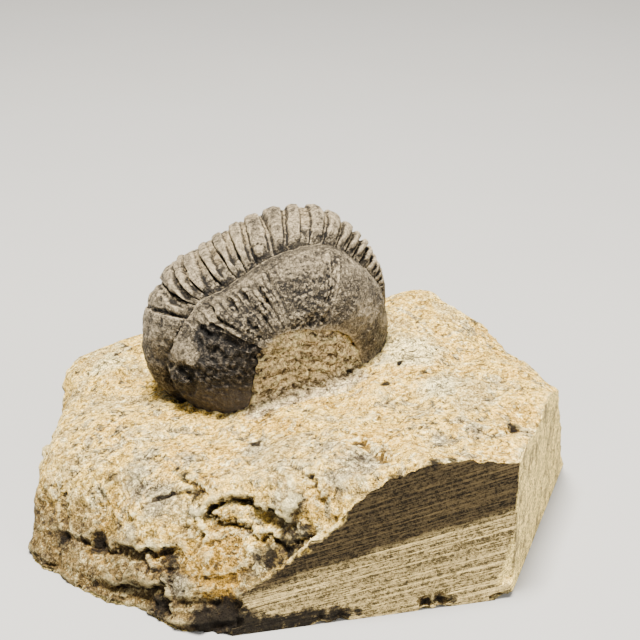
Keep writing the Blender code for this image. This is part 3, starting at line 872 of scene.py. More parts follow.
    def head_relief(self, at: dict[str, np.ndarray]) -> np.ndarray:
        """The glabella's faint lobes, the lid over the eye and the round eye under it."""
        angle, across, axis = at["angle"], np.abs(at["across"]), at["axis"]
        neck = self.rings[0].crest
        relief = np.zeros(angle.shape)
        for lobe in range(4):
            furrow = neck + 9.0 + 10.5 * lobe
            relief = relief - 0.13 * bump(angle - furrow, 3.6) * bump(across - axis, 1.8)
        under = ease((angle - neck + 2.0) / 6.0)
        step = -0.22 * under * bump(angle - neck - 2.0, 15.0) * ease((across - axis - 2.2) / 1.2)
        lid = np.hypot((angle - 175.5) * 0.24, (across - 4.9) * 0.8)
        away = np.hypot((angle - 190.5) * 0.235, across - 5.1)
        eye = 0.45 * bump(away, 2.0) - 0.2 * bump(away - 1.85, 0.5)
        return np.where(angle > neck - 6.0, relief + step + eye + 0.2 * bump(lid, 1.5), 0.0)

    def build(self, view: Viewpoint) -> bpy.types.Object:
        """Shape a divided grid into the animal and roughen it."""
        at = self.sections()
        rows, columns = at["radius"].shape
        deselect()
        bpy.ops.mesh.primitive_grid_add(x_subdivisions=columns, y_subdivisions=rows - 1,
                                        size=1.0)
        piece = bpy.context.object
        piece.name = self.name
        piece.data.name = self.name
        closed = self.close_rows(at)
        closed["spots"] = self.place(closed["angle"], closed["radius"], closed["across"])
        radius = closed["radius"] + self.relief(closed)
        spots = self.place(closed["angle"], radius, closed["across"]).reshape(-1, 3)
        write_points(piece, spots)
        for name in ("band", "groove", "edge"):
            keep_values(piece, name, closed[name].ravel())
        self.close(piece)
        self.roughen(piece, view)
        return piece

    @staticmethod
    def close_rows(at: dict[str, np.ndarray]) -> dict[str, np.ndarray]:
        """Repeat each row's first point at its end, where the grid closes on itself."""
        return {key: np.concatenate((rows, rows[:, :1]), axis=1) for key, rows in at.items()}

    @staticmethod
    def close(piece: bpy.types.Object) -> None:
        """Merge the grid's two long edges and fill the head and tail ends."""
        pick(piece)
        bpy.ops.object.mode_set(mode="EDIT")
        bpy.ops.mesh.select_all(action="SELECT")
        bpy.ops.mesh.remove_doubles(threshold=0.002 * MM)
        bpy.ops.mesh.select_all(action="DESELECT")
        bpy.ops.mesh.select_non_manifold()
        bpy.ops.mesh.fill_holes(sides=0)
        bpy.ops.mesh.select_all(action="SELECT")
        bpy.ops.mesh.normals_make_consistent(inside=False)
        bpy.ops.object.mode_set(mode="OBJECT")

    def curl_of(self, points: np.ndarray) -> tuple[np.ndarray, np.ndarray, np.ndarray]:
        """Give each point's angle, radius and width across in the curl."""
        offset = points - np.array(self.curl_centre)
        cos_yaw, sin_yaw = math.cos(self.curl_yaw), math.sin(self.curl_yaw)
        along = offset[:, 0] * cos_yaw + offset[:, 1] * sin_yaw
        across = offset[:, 0] * sin_yaw - offset[:, 1] * cos_yaw
        angle = np.degrees(np.arctan2(offset[:, 2], along))
        angle = np.where(angle < self.tail_end - 40.0, angle + 360.0, angle)
        return angle, np.hypot(along, offset[:, 2]), across

    def seen_near(self, points: np.ndarray, view: Viewpoint) -> np.ndarray:
        """Give the pixel of each point, with the far side mirrored to the near one."""
        angle, radius, across = self.curl_of(points)
        return view.project(self.place(angle, radius, np.abs(across)))

    def cheek_share(self, points: np.ndarray, seen: np.ndarray) -> np.ndarray:
        """Give the share of bare dark cheek at each point, the same on both sides; its black is
        partly the shell's own and partly painted shade.
        """
        angle, _, across = self.curl_of(points)
        inside = inside_outline(seen, self.cheek_outline, 11.0)
        right, below = (seen - np.array(self.chin)).T
        inside = np.maximum(inside, 0.8 * ease(below / 12.0) * ease(right / 14.0))
        return inside * (angle > 150.0) * ease((np.abs(across) - 0.6) / 1.5)

    def roughen(self, piece: bpy.types.Object, view: Viewpoint) -> None:
        """Give the shell its uneven wear and grains, and keep what its finish reads."""
        points = read_points(piece)
        normals = read_normals(piece)
        seen = self.seen_near(points, view)
        angle, _, across = self.curl_of(points)
        out = np.abs(across)
        cheek = self.cheek_share(points, seen)
        knob, button = (np.hypot(*(seen - np.array(pixel)).T)
                        for pixel in (self.knob, self.button))
        lobe = ease((out - 5.0) / 2.0) * ease((angle - 52.0) / 18.0) * ease((172.0 - angle) / 10.0)
        crumbly = lobe * ease((swell(points, 2.4, 6.6) + 0.35) / 0.45)
        low = crumbly * ease((out - 6.4) / 1.4)
        pits = ease((swell(points, 0.75, 9.9) + swell(points, 0.36, 7.9) * 0.6 - 0.05) / 0.4)
        pits = 0.16 * pits + facets(points, 1.3, 2.9) * 0.16 + facets(points, 2.3, 5.9) * 0.32
        glitter = swell(points, 0.5, 4.4) * 0.12 + facets(points, 0.7, 1.4) * 0.2
        rim = bump(cheek - 0.35, 0.3) * ease(swell(points, 0.9, 5.5) * 3.0 + 0.6)
        grit = stack(swell, points, self.grit) * (1.0 - 0.5 * cheek)
        move = stack(swell, points, self.uneven) + grit - (0.45 * crumbly + 0.55 * low) * pits
        move = move + cheek * (glitter - 0.26) + 0.12 * rim
        neck = bump(angle - 157.0, 9.0) * bump(out - 1.5, 3.4)
        move = move + neck * (facets(points, 1.3, 3.7) * 0.3 - 0.12)
        move = move + 0.34 * bump(knob, 6.5) - 0.09 * bump(knob - 7.0, 2.0)
        move = move + 0.1 * ease((6.5 - button) / 2.5) - 0.05 * bump(button - 7.0, 1.5)
        write_points(piece, points + normals * move[:, None])
        wide = hollows(piece, 40)
        top = ease((angle - 30.0) / 12.0) * ease((152.0 - angle) / 12.0) * ease((4.4 - out) / 1.2)
        # Wear and a painted highlight lighten the lid over the eye, the knob and the button.
        lid = np.hypot(*((seen - np.array(self.lid)) / (15.0, 9.0)).T)
        worn_highlight = 0.12 * ease((1.0 - lid) / 0.8) + 0.4 * ease((5.2 - knob) / 2.5)
        worn_highlight = worn_highlight + 0.4 * ease((6.0 - button) / 2.5)
        values = {
            "hollow_fine": hollows(piece, 3),
            "hollow_wide": wide,
            "cheek": cheek,
            "eye": np.hypot(*((seen - np.array(self.eye)) * (1.0, 1.05)).T) / 10.0,
            # the head's colour turns a lighter brown towards its bottom
            "lower_head": ease((seen[:, 1] - 380.0) / 22.0),
            "shade": 0.62 * lobe * ease((out - 6.0) / 2.6),
            "worn_highlight": np.clip(worn_highlight, 0.0, 1.0),
            "fill": 0.9 * top * ease((3.0 - out) / 1.4),
            # painted shade in the recesses beside the slabs
            "recess_shade": ease((out - 1.8) / 1.4) * ease((152.0 - angle) / 12.0),
            "crumbs": ease((wide - 0.02) / 0.15) * (1.0 - cheek),
        }
        for name, value in values.items():
            keep_values(piece, name, value)
        piece.data.shade_smooth()
        LOG.info("%s: %d faces", self.name, len(piece.data.polygons))

    def dress(self, piece: bpy.types.Object, effects: SharedEffects) -> None:
        """Give the piece its finish, hang it under the root body and hide the imported solid."""
        piece.data.materials.append(self.finish.material(effects))
        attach(piece, "root")
        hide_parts(self.node)


# --------------------------------------------------------------------- the limestone block
class Mark(Enum):
    """What a mark does to the stone round it."""

    OCHRE = "ochre"
    GREY = "grey"
    DARK = "dark"
    ROUGH = "rough"
    CHIP = "chip"
    WHITE = "white"


@dataclass(frozen=True)
class Spot:
    """Where a mark on the stone is seen, its size and its strength."""

    pixel: Pixel
    radius: float
    strength: float = 1.0


@dataclass(frozen=True)
class Crack:
    """A crack or a ledge along a line of pixels, in millimetres across and deep.

    ledge is how deep the stone under the line is cut back, fading out over its reach.
    """

    line: tuple[Pixel, ...]
    width: float
    depth: float
    ledge: float = 0.0
    reach: float = 2.5


@dataclass(frozen=True)
class Cut:
    """A flat sawn face: a point on it, its outward direction, and where it holds."""

    point: Vector
    outward: Vector
    edge: Vector
    side: Vector

    def depth(self, points: np.ndarray) -> np.ndarray:
        """Give how far each point stands out of the face."""
        return (points - np.array(self.point)) @ np.array(self.outward)

    def holds(self, points: np.ndarray) -> np.ndarray:
        """Say which points lie on the side of the edge where this cut was made."""
        return (points - np.array(self.edge)) @ np.array(self.side) > 0.0


@dataclass(frozen=True)
class StoneFinish:
    """Cream limestone with ochre and grey patches, and its sawn faces."""

    cream: Colour = (0.82, 0.555, 0.115)
    yellow: Colour = (0.66, 0.40, 0.06)
    tan: Colour = (0.24, 0.15, 0.038)
    ochre: Colour = (0.36, 0.20, 0.016)
    grey: Colour = (0.25, 0.222, 0.150)
    white: Colour = (0.98, 0.86, 0.45)
    brown: Colour = (0.036, 0.025, 0.015)
    black_speck_and_shadow: Colour = (0.005, 0.0035, 0.0024)
    low_shade: Colour = (0.128, 0.085, 0.032)
    knob: Colour = (0.58, 0.455, 0.27)
    sawn: Colour = (0.41, 0.31, 0.13)
    sawn_dark: Colour = (0.034, 0.024, 0.0105)
    sawn_right: Colour = (0.68, 0.52, 0.18)
    sawn_streak: Colour = (0.17, 0.13, 0.06)

    def layered(self, graph: Graph, across, deep, high) -> Socket:
        """Paint the thin bowed layers of the knob inside the curl."""
        aside = graph.plus(across, 1.3)
        bow = graph.times(graph.times(aside, aside), 0.075)
        streak = graph.node("CombineXYZ", {
            0: graph.times(across, 0.35), 1: graph.times(deep, 0.35),
            2: graph.times(graph.plus(high, bow), 1.7)})
        streak = graph.cloud(streak.outputs[0], 1.0, detail=7.0, rough=0.78)
        colour = graph.blend(graph.span(streak, 0.525, 0.56, 0.0, 0.9), self.knob, self.brown)
        return graph.blend(graph.span(streak, 0.45, 0.40, 0.0, 0.6), colour, self.white)

    def natural(self, graph: Graph, effects: SharedEffects, where, tone) -> Socket:
        """Paint the broken stone.

        Args:
            graph: the material's graph.
            effects: the shared groups.
            where: the place on the piece in millimetres.
            tone: the tone of the stone's grain.

        Returns:
            The colour's socket.
        """
        paint, span, times = graph.paint, graph.span, graph.times
        broad = graph.cloud(where, 6.0, detail=5.0, rough=0.62, twist=0.5)
        patch = graph.cloud(where, 2.4, detail=6.0, rough=0.7, twist=0.8)
        flake = graph.cloud(where, 0.85, detail=5.0, rough=0.74, twist=1.0)
        crumb = graph.cloud(where, 0.4, detail=4.0, rough=0.75, twist=0.6)
        across, deep, high = graph.node("SeparateXYZ", {0: where}).outputs
        # Painted shade: the stone darkens towards the bottom of the block.
        low_shade = span(graph.plus(high, times(patch, 9.0)), 12.6, 8.4, 0.0, 0.93)
        colour = self.cream
        for over, value, low, top, most in (
                (self.yellow, broad, 0.43, 0.60, 0.8), (self.grey, broad, 0.46, 0.40, 0.5),
                (self.grey, patch, 0.54, 0.58, 0.75), (self.tan, patch, 0.445, 0.40, 0.6)):
            colour = paint(colour, over, span(value, low, top, 0.0, most))
        colour = paint(colour, self.low_shade, low_shade)
        for name, over, size, raggedness, strength in (
                ("grey", self.grey, 1.6, 0.8, 0.85), ("ochre", self.ochre, 1.2, 0.7, 0.82)):
            mask = effects.torn(graph, where, graph.layer(name), size, raggedness)
            colour = paint(colour, over, mask, strength)
        white = effects.torn(graph, where, graph.layer("white"), 3.0, 1.0)
        colour = paint(colour, self.white, white, 0.65)
        knob = effects.torn(graph, where, graph.layer("knob"), 0.9, 0.5)
        colour = paint(colour, self.layered(graph, across, deep, high), knob, 0.9)
        # Hollows take brown dirt and painted shade; crests take white wear and painted highlight,
        # less in the painted low shade.
        fine_dirt_shade, fine_wear_highlight = effects.hollow_and_crest_masks(graph, "hollow_fine", tone, 0.07)
        wide_dirt_shade, wide_wear_highlight = effects.hollow_and_crest_masks(graph, "hollow_wide", flake, 0.4)
        light = times(span(flake, 0.57, 0.61, 0.0, 0.75), span(low_shade, 0.0, 0.93, 1.0, 0.4))
        colour = paint(colour, self.white, light)
        some = graph.calc("MAXIMUM", span(patch, 0.45, 0.54, 0.4, 1.0), graph.layer("white"))
        colour = paint(colour, self.brown, times(span(flake, 0.46, 0.435, 0.0, 0.9), some))
        colour = graph.tint(colour, span(tone, 0.0, 1.0, 0.4, 1.5))
        colour = paint(colour, self.black_speck_and_shadow, times(span(crumb, 0.575, 0.6, 0.0, 0.9), some))
        colour = paint(colour, self.black_speck_and_shadow, times(span(crumb, 0.445, 0.425, 0.0, 0.9), white))
        dirt_and_shade = graph.calc("MAXIMUM", times(fine_dirt_shade, 0.6), times(wide_dirt_shade, 0.7))
        colour = paint(colour, self.brown, dirt_and_shade)
        wear_and_highlight = graph.calc("MAXIMUM", times(fine_wear_highlight, 0.5), times(wide_wear_highlight, 0.5))
        return paint(colour, self.white, times(wear_and_highlight, span(low_shade, 0.0, 0.93, 1.0, 0.45)))

    def saw_lines(self, graph: Graph, where, cut: Cut, along: Vector) -> tuple:
        """Draw the fine lines that the blade left.

        Args:
            graph: the material's graph.
            where: the place on the piece in millimetres.
            cut: the sawn face.
            along: the way the lines run.

        Returns:
            Sockets of the lines' tone and of the height above the cut's edge.
        """
        up = along.cross(cut.outward) * -1.0
        offset = graph.vector("SUBTRACT", where, tuple(cut.edge)).outputs[0]
        run = graph.vector("DOT_PRODUCT", offset, tuple(along)).outputs["Value"]
        rise = graph.vector("DOT_PRODUCT", offset, tuple(up)).outputs["Value"]
        level = graph.times(rise, graph.minus(1.0, graph.times(run, 0.007)))
        shares = []
        for wide, high, strength in ((0.03, 3.2, 0.55), (0.45, 8.0, 0.45)):
            spot = graph.node("CombineXYZ", {0: graph.times(run, wide),
                                             1: graph.times(level, high)}).outputs[0]
            shares.append(graph.times(graph.cloud(spot, 1.0, detail=4.0, rough=0.75), strength))
        drop = graph.calc("MAXIMUM", graph.minus(2.0, run), 0.0)
        return (graph.span(graph.plus(*shares), 0.43, 0.57),
                graph.plus(rise, graph.times(drop, 0.08)))

    def material(self, effects: SharedEffects, cuts: dict[str, Cut],
                 along: Vector) -> bpy.types.Material:
        """Build the finish."""
        material, graph, where = start_material("limestone")
        paint, plus, times = graph.paint, graph.plus, graph.times
        tone, grain = effects.use(graph, Effect.GRAIN, {"Where": where, "Size": 0.2}).outputs
        colour = self.natural(graph, effects, where, tone)
        lines, rise = self.saw_lines(graph, where, cuts["front upper"], along)
        # The front cut's dark upper band is partly darker stone and partly painted shade.
        wander = times(graph.cloud(where, 2.5, detail=4.0), 1.6)
        band = graph.span(plus(rise, graph.minus(wander, 0.8)), -0.5, 0.9)
        lit = plus(1.7, times(band, 1.6))
        shade = graph.span(times(plus(lines, tone), 0.5), 0.2, 0.8, 0.1, 1.1)
        front = graph.tint(graph.blend(band, self.sawn, self.sawn_dark), times(shade, lit))
        streak = graph.cloud(graph.vector("MULTIPLY", where, (1.0, 1.0, 0.5)).outputs[0],
                             1.6, detail=8.0, rough=0.8, twist=0.4)
        right = graph.blend(graph.span(streak, 0.48, 0.58, 0.0, 0.9),
                            self.sawn_right, self.sawn_streak)
        right = graph.tint(right, graph.span(tone, 0.0, 1.0, 0.35, 1.85))
        sawn = graph.blend(graph.layer("front_cut"), right, front)
        sawn = paint(sawn, self.brown, effects.speckled(graph, where, 0.5, 0.1), 0.6)
        on_cut = graph.span(graph.layer("cut"), 0.3, 0.7)
        colour = paint(colour, sawn, on_cut)
        # Round the dark marks: a brown halo of painted shade, then black painted shadow in the
        # chips, hollows and cracks.
        shade_halo = effects.torn(graph, where, graph.layer("dark"), 1.3, 0.9)
        colour = paint(colour, self.brown, graph.span(shade_halo, 0.0, 0.4, 0.0, 0.7))
        dark = effects.torn(graph, where, graph.layer("dark"), 0.55, 1.1)
        colour = paint(colour, self.black_speck_and_shadow, dark, 0.93)
        rough = plus(times(grain, 0.45),
                     times(graph.cloud(where, 0.9, detail=6.0, rough=0.74, twist=0.5), 3.4))
        lined = plus(times(times(lines, graph.layer("front_cut")), 0.5), times(grain, 0.35))
        height = graph.node("Mix", {0: on_cut, 2: rough, 3: lined}).outputs[0]
        graph.finish(colour, graph.span(tone, 0.0, 1.0, 0.95, 0.78), height, 0.3, 0.12)
        return material


@dataclass
class LimestoneBlock:
    """The loose block that the fossil lies in, with its natural and its sawn faces."""

    node: str = "matrix_rock"
    name: str = "limestone_block"
    voxel: float = 0.285
    smooth_rounds: int = 14
    spare: float = 0.5
    spare_reach: float = 1.4
    stain_spread: float = 1.5
    valley_left: Place = (-5.519, -22.642, 4.7)
    valley_right: Place = (18.281, -17.042, 8.7)
    upper_lean: float = math.radians(3.0)
    lower_lean: float = math.radians(-4.0)
    right_point: Place = (19.281, -17.242, 0.0)
    right_along: Place = (0.335, 0.942, 0.0)
    corner_point: Place = (18.131, -17.342, 1.6)
    corner_outward: Place = (0.667, -0.745, -0.09)
    bedding: Place = (-0.17, 0.05, 1.0)
    curl_middle: Place = (-3.7, 7.1, 17.0)
    curl_turn: tuple[float, float] = (0.94, 0.34)
    lumps: Waves = ((4.2, 1.3, 0.4), (1.9, 6.1, 0.1))
    fractures: Waves = ((3.6, 4.2, 0.5), (1.6, 7.7, 0.14))
    ledges: Pairs = ((2.7, 0.42), (1.05, 0.2))
    bed_reach: float = 0.9
    bed_hold: float = 0.42
    bed_sink: float = 0.07
    finish: StoneFinish = StoneFinish()
    spots: tuple[tuple[Mark, tuple[Spot, ...]], ...] = (
        (Mark.OCHRE, (
            Spot((225, 539), 2.6), Spot((220, 585), 2.2), Spot((260, 411), 2.6, 0.9),
            Spot((204, 482), 1.6, 0.7), Spot((129, 436), 2.0, 0.5), Spot((106, 521), 2.2, 0.5),
            Spot((97, 549), 1.8, 0.7), Spot((161, 562), 2.2, 0.7), Spot((362, 438), 1.6, 0.8),
            Spot((384, 454), 1.2, 0.8), Spot((458, 372), 1.2, 0.7), Spot((290, 430), 2.6, 0.6),
            Spot((200, 560), 3.0, 0.7), Spot((330, 405), 2.0, 0.6), Spot((510, 430), 1.6, 0.6),
            Spot((310, 345), 2.4, 0.5), Spot((290, 332), 1.5, 0.9), Spot((224, 560), 2.2))),
        (Mark.GREY, (
            Spot((158, 500), 2.6, 0.8), Spot((253, 450), 2.2, 0.8), Spot((190, 455), 2.2, 0.6),
            Spot((177, 585), 1.4), Spot((328, 447), 2.4, 0.6), Spot((370, 462), 2.2, 0.9),
            Spot((337, 478), 2.2, 0.8), Spot((426, 409), 1.6, 0.6), Spot((129, 535), 2.0, 0.6),
            Spot((275, 515), 1.8, 0.7), Spot((440, 440), 2.0, 0.7), Spot((475, 432), 1.6, 0.7),
            Spot((140, 480), 3.0, 0.7), Spot((350, 465), 3.0, 0.8), Spot((285, 505), 2.6, 0.7),
            Spot((230, 470), 2.4, 0.5))),
        (Mark.WHITE, (
            Spot((412, 350), 5.5), Spot((440, 385), 4.0, 0.8), Spot((105, 365), 4.0, 0.8),
            Spot((150, 440), 3.0, 0.5), Spot((385, 395), 2.6, 0.6), Spot((150, 545), 1.6, 0.8))),
        # Dark marks: painted shadow in chips, hollows and undercuts along the bottom edge and low
        # front, and a few dark specks.
        (Mark.DARK, (
            Spot((224, 619), 3.6), Spot((125, 609), 3.0, 0.9), Spot((145, 613), 3.0, 0.9),
            Spot((158, 606), 2.2, 0.8), Spot((97, 545), 2.2, 0.75), Spot((62, 540), 1.9, 0.65),
            Spot((286, 543), 2.8, 0.8), Spot((268, 557), 2.4, 0.75), Spot((303, 533), 2.0, 0.7),
            Spot((110, 477), 1.4, 0.5), Spot((184, 476), 1.4, 0.55), Spot((196, 495), 1.4, 0.55),
            Spot((385, 385), 0.9, 0.9), Spot((256, 444), 0.9, 0.8), Spot((436, 466), 1.3, 0.8),
            Spot((452, 462), 1.0, 0.7), Spot((396, 476), 1.3, 0.7), Spot((177, 470), 1.0, 0.5),
            Spot((514, 428), 1.2, 0.9), Spot((400, 362), 0.7, 0.8), Spot((424, 372), 0.7, 0.8),
            Spot((316, 621), 0.8, 0.8), Spot((360, 615), 0.8, 0.8), Spot((455, 602), 0.8, 0.8),
            Spot((282, 627), 1.4, 0.8), Spot((208, 624), 3.0), Spot((241, 627), 3.0),
            Spot((345, 618), 1.5, 0.8), Spot((330, 620), 1.5, 0.8), Spot((428, 606), 0.9, 0.8),
            Spot((442, 603), 1.0, 0.8), Spot((262, 631), 2.0, 0.9), Spot((300, 626), 1.6, 0.8),
            Spot((252, 630), 2.3), Spot((266, 629), 1.9), Spot((280, 627), 1.7),
            Spot((294, 624), 1.6), Spot((308, 621), 1.7), Spot((322, 618), 1.5, 0.9),
            Spot((336, 616), 1.4, 0.9), Spot((168, 566), 2.6, 0.6))),
        (Mark.ROUGH, (
            Spot((225, 545), 7.5), Spot((120, 590), 6.0, 0.8), Spot((330, 480), 4.0, 0.6),
            Spot((185, 590), 5.0))),
        (Mark.CHIP, (
            Spot((227, 619), 3.2, 1.2), Spot((135, 615), 2.4, 1.1), Spot((97, 541), 1.3, 0.7),
            Spot((64, 536), 1.0, 0.5), Spot((322, 621), 1.2, 0.7), Spot((340, 618), 1.3, 0.8),
            Spot((427, 607), 1.1, 0.7), Spot((443, 604), 1.3, 0.8), Spot((284, 556), 2.0, 0.9),
            Spot((298, 544), 2.3), Spot((312, 531), 2.5, 1.1), Spot((326, 519), 2.5, 1.1),
            Spot((341, 507), 2.3), Spot((356, 494), 2.0, 0.9), Spot((375, 482), 1.6, 0.8),
            Spot((398, 473), 1.3, 0.7))),
    )
    cracks: tuple[Crack, ...] = (
        Crack(((207, 512), (213, 506), (223, 500), (240, 498), (251, 504), (262, 513),
               (275, 520), (286, 521), (293, 513)), 0.34, 0.5, 0.9, 2.4),
        Crack(((203, 516), (225, 524), (243, 528), (258, 536)), 0.3, 0.35, 0.5, 1.6),
        Crack(((203, 487), (190, 480), (178, 476)), 0.3, 0.3, 0.3, 1.4),
        Crack(((189, 527), (201, 530)), 0.3, 0.4, 0.3, 1.2),
        Crack(((82, 540), (96, 546), (112, 550)), 0.35, 0.35, 0.5, 1.8),
        Crack(((124, 547), (146, 552), (166, 548)), 0.25, 0.12, 0.8, 2.0),
        Crack(((113, 586), (138, 594), (163, 585)), 0.25, 0.12, 0.9, 2.2),
        Crack(((163, 578), (164, 594), (167, 610)), 0.25, 0.15, 0.5, 1.6),
        Crack(((144, 562), (154, 570), (168, 568)), 0.3, 0.15, 0.4, 1.6),
        Crack(((262, 535), (280, 545), (300, 540)), 0.3, 0.35, 0.5, 1.6),
        Crack(((504, 432), (514, 427), (525, 430)), 0.4, 0.45, 0.5, 1.4),
        Crack(((336, 373), (346, 371), (356, 366)), 0.22, 0.3, 0.2, 1.0),
        Crack(((355, 441), (363, 439), (374, 446), (384, 456)), 0.3, 0.3, 0.5, 1.4),
        Crack(((150, 500), (172, 492), (196, 490)), 0.3, 0.15, 0.35, 2.0),
        Crack(((297, 465), (310, 476), (318, 490)), 0.25, 0.2, 0.4, 1.8),
    )

    def cuts(self) -> dict[str, Cut]:
        """Give the sawn faces, each where it holds."""
        left, right = Vector(self.valley_left), Vector(self.valley_right)
        along = (right - left).normalized()
        out = along.cross(Vector((0, 0, 1))).normalized()
        middle = (left + right) / 2
        up = out.cross(along).normalized() * -1.0
        if up.z < 0.0:
            up = -up
        upper = Matrix.Rotation(self.upper_lean, 3, along) @ out
        lower = Matrix.Rotation(self.lower_lean, 3, along) @ out
        right_out = Vector(self.right_along).cross(Vector((0, 0, 1))).normalized()
        below = Vector((0, 0, -50.0))
        return {
            "front upper": Cut(middle, upper, middle, up),
            "front lower": Cut(middle, lower, middle, -up),
            "right": Cut(Vector(self.right_point), right_out, below, Vector((0, 0, 1))),
            "corner": Cut(Vector(self.corner_point), Vector(self.corner_outward).normalized(),
                          Vector(self.corner_point), Vector((0, 0, 1))),
        }

    def build(self, view: Viewpoint, fossil: bpy.types.Object) -> bpy.types.Object:
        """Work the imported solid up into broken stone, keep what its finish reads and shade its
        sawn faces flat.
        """
        piece = copy_of_node(self.node, self.name)
        piece.data.name = self.name
        self.remesh(piece)
        cuts = self.cuts()
        points = read_points(piece)
        edges = read_edges(piece)
        solid_low, solid_high = points.min(axis=0), points.max(axis=0)
        on_cut = np.zeros(len(points))
        for cut in cuts.values():
            flat = (np.abs(cut.depth(points)) < 0.12) & cut.holds(points)
            on_cut = np.maximum(on_cut, flat)
        base = points[:, 2] < 0.12
        loose = (1.0 - np.maximum(on_cut, base))[:, None]
        points = points + (relax(points, edges, self.smooth_rounds) - points) * loose
        for cut in cuts.values():
            near = ease(1.0 + cut.depth(points) / self.spare_reach) * cut.holds(points)
            points = points + near[:, None] * np.array(cut.outward) * self.spare
        write_points(piece, points)
        tree = BVHTree.FromObject(piece, bpy.context.evaluated_depsgraph_get())
        masks = self.masks(points, tree, view)
        points = self.break_surface(piece, points, masks, view, tree, base, on_cut > 0.5)
        for cut in cuts.values():
            proud = np.clip(cut.depth(points), 0.0, None) * cut.holds(points)
            points = points - proud[:, None] * np.array(cut.outward)
        points[:, 2] = np.clip(points[:, 2], 0.0, None)
        points = self.close_gap(points, fossil)
        points = np.clip(points, solid_low - 0.1, solid_high + 0.1)
        points[:, 2] = np.clip(points[:, 2], 0.0, None)
        write_points(piece, points)
        self.flatten(piece, self.keep_layers(piece, points, cuts, masks))
        LOG.info("%s: %d faces", self.name, len(piece.data.polygons))
        return piece

    def remesh(self, piece: bpy.types.Object) -> None:
        """Divide the solid's surface evenly."""
        pick(piece)
        modifier = piece.modifiers.new("even", "REMESH")
        modifier.mode = "VOXEL"
        modifier.voxel_size = self.voxel * MM
        bpy.ops.object.modifier_apply(modifier=modifier.name)

    @staticmethod
    def flatten(piece: bpy.types.Object, on_cut: np.ndarray) -> None:
        """Shade the sawn faces flat and the broken ones smoothly."""
        piece.data.shade_smooth()
        for face in piece.data.polygons:
            if all(on_cut[k] for k in face.vertices):
                face.use_smooth = False

    def masks(self, points: np.ndarray, tree: BVHTree, view: Viewpoint) -> dict:
        """Spread the marks over the stone round them."""
        masks = {mark: np.zeros(len(points)) for mark in Mark}
        for mark, spots in self.spots:
            wide = self.stain_spread if mark in (Mark.GREY, Mark.OCHRE) else 1.0
            for spot in spots:
                centre = view.hit(tree, spot.pixel)
                if centre is None:
                    LOG.warning("mark at %s misses the stone", spot.pixel)
                    continue
                away = np.linalg.norm(points - np.array(centre), axis=1)
                share = bump(away, spot.radius * wide) * spot.strength
                masks[mark] = np.maximum(masks[mark], share)
        return masks

    def along_crack(self, crack: Crack, points: np.ndarray, tree: BVHTree,
                    view: Viewpoint) -> tuple[np.ndarray, np.ndarray]:
        """Measure each point against a crack.

        Args:
            crack: the crack.
            points: places in millimetres.
            tree: the stone's surface.
            view: the camera.

        Returns:
            The distance from the crack, and 1 under its line or 0 above it.
        """
        seen = view.project(points)
        away = np.full(len(points), 1e3)
        below = np.zeros(len(points))
        spots = [view.hit(tree, pixel) for pixel in crack.line]
        for k in range(len(spots) - 1):
            if spots[k] is None or spots[k + 1] is None:
                continue
            start, step = np.array(spots[k]), np.array(spots[k + 1] - spots[k])
            share = np.clip((points - start) @ step / (step @ step), 0.0, 1.0)
            distance = np.linalg.norm(points - start - share[:, None] * step, axis=1)
            first, second = np.array(crack.line[k]), np.array(crack.line[k + 1])
            way = second - first
            way = way if way[0] > 0 else -way
            under = way[0] * (seen[:, 1] - first[1]) - way[1] * (seen[:, 0] - first[0]) > 0
            closer = distance < away
            away = np.where(closer, distance, away)
            below = np.where(closer, under, below)
        return away, below

    def break_surface(self, piece: bpy.types.Object, points: np.ndarray, masks: dict,
                      view: Viewpoint, tree: BVHTree, base: np.ndarray,
                      sawn: np.ndarray) -> np.ndarray:
        """Break the natural faces into lumps, ledges, pits and cracks."""
        normals = read_normals(piece)
        wander = np.stack([swell(points, 3.0, seed) for seed in (2.0, 5.0, 9.0)], axis=1)
        warped = points + wander * 0.9
        away = np.linalg.norm(points[:, :2] - np.array(self.curl_middle[:2]), axis=1)
        bed = np.array(self.bedding) / np.linalg.norm(self.bedding)
        steep = ease(1.3 - np.abs(normals @ bed) * 1.4)
        wild = 0.36 + 0.3 * ease((away - 9.0) / 9.0) + 0.6 * steep + 1.0 * masks[Mark.ROUGH]
        lumps = stack(swell, warped, self.lumps)
        broken = stack(facets, warped, self.fractures)
        chips = facets(points, 0.9, 2.6) * 0.1
        grit = swell(points, 0.7, 2.2) * 0.05
        level = points @ bed + swell(points, 6.0, 8.8) * 1.2
        ledges = np.zeros(len(points))
        for spacing, height in self.ledges:
            share = (level / spacing) % 1.0
            ledges += (ease((share - 0.35) / 0.3) - share) * height
        pits = -0.22 * ease((swell(points, 1.0, 12.0) - 0.44) / 0.2)
        right, back, up = (points - np.array(self.curl_middle)).T
        cosine, sine = self.curl_turn
        inner = bump(np.hypot(right * cosine + back * sine, up + 1.0), 9.5)
        inner = ease(inner * 2.5) * (points[:, 2] > 11.0)
        inner = inner * ease((12.0 - np.abs(right * sine - back * cosine)) / 2.0)
        masks["knob"] = inner
        bowed = points[:, 2] + 0.075 * (points[:, 0] + 1.3) ** 2
        bowed = np.stack((points[:, 0] * 0.3, points[:, 1] * 0.3, bowed), axis=1)
        plate = (bowed[:, 2] / 1.05 + swell(points, 2.4, 4.0) * 0.9) % 1.0
        layers = (ease((plate - 0.1) / 0.25) - plate) * (0.2 + 0.3 * swell(points, 1.9, 3.0))
        layers = layers + swell(bowed, 0.9, 8.0) * 0.16 + facets(points, 1.1, 6.2) * 0.16
        move = (lumps + broken + ledges * steep) * wild * (1.0 - 0.7 * inner)
        move += grit + pits + chips * (0.5 + wild) + layers * inner
        move -= masks[Mark.CHIP] * 1.0
        dark = masks[Mark.DARK]
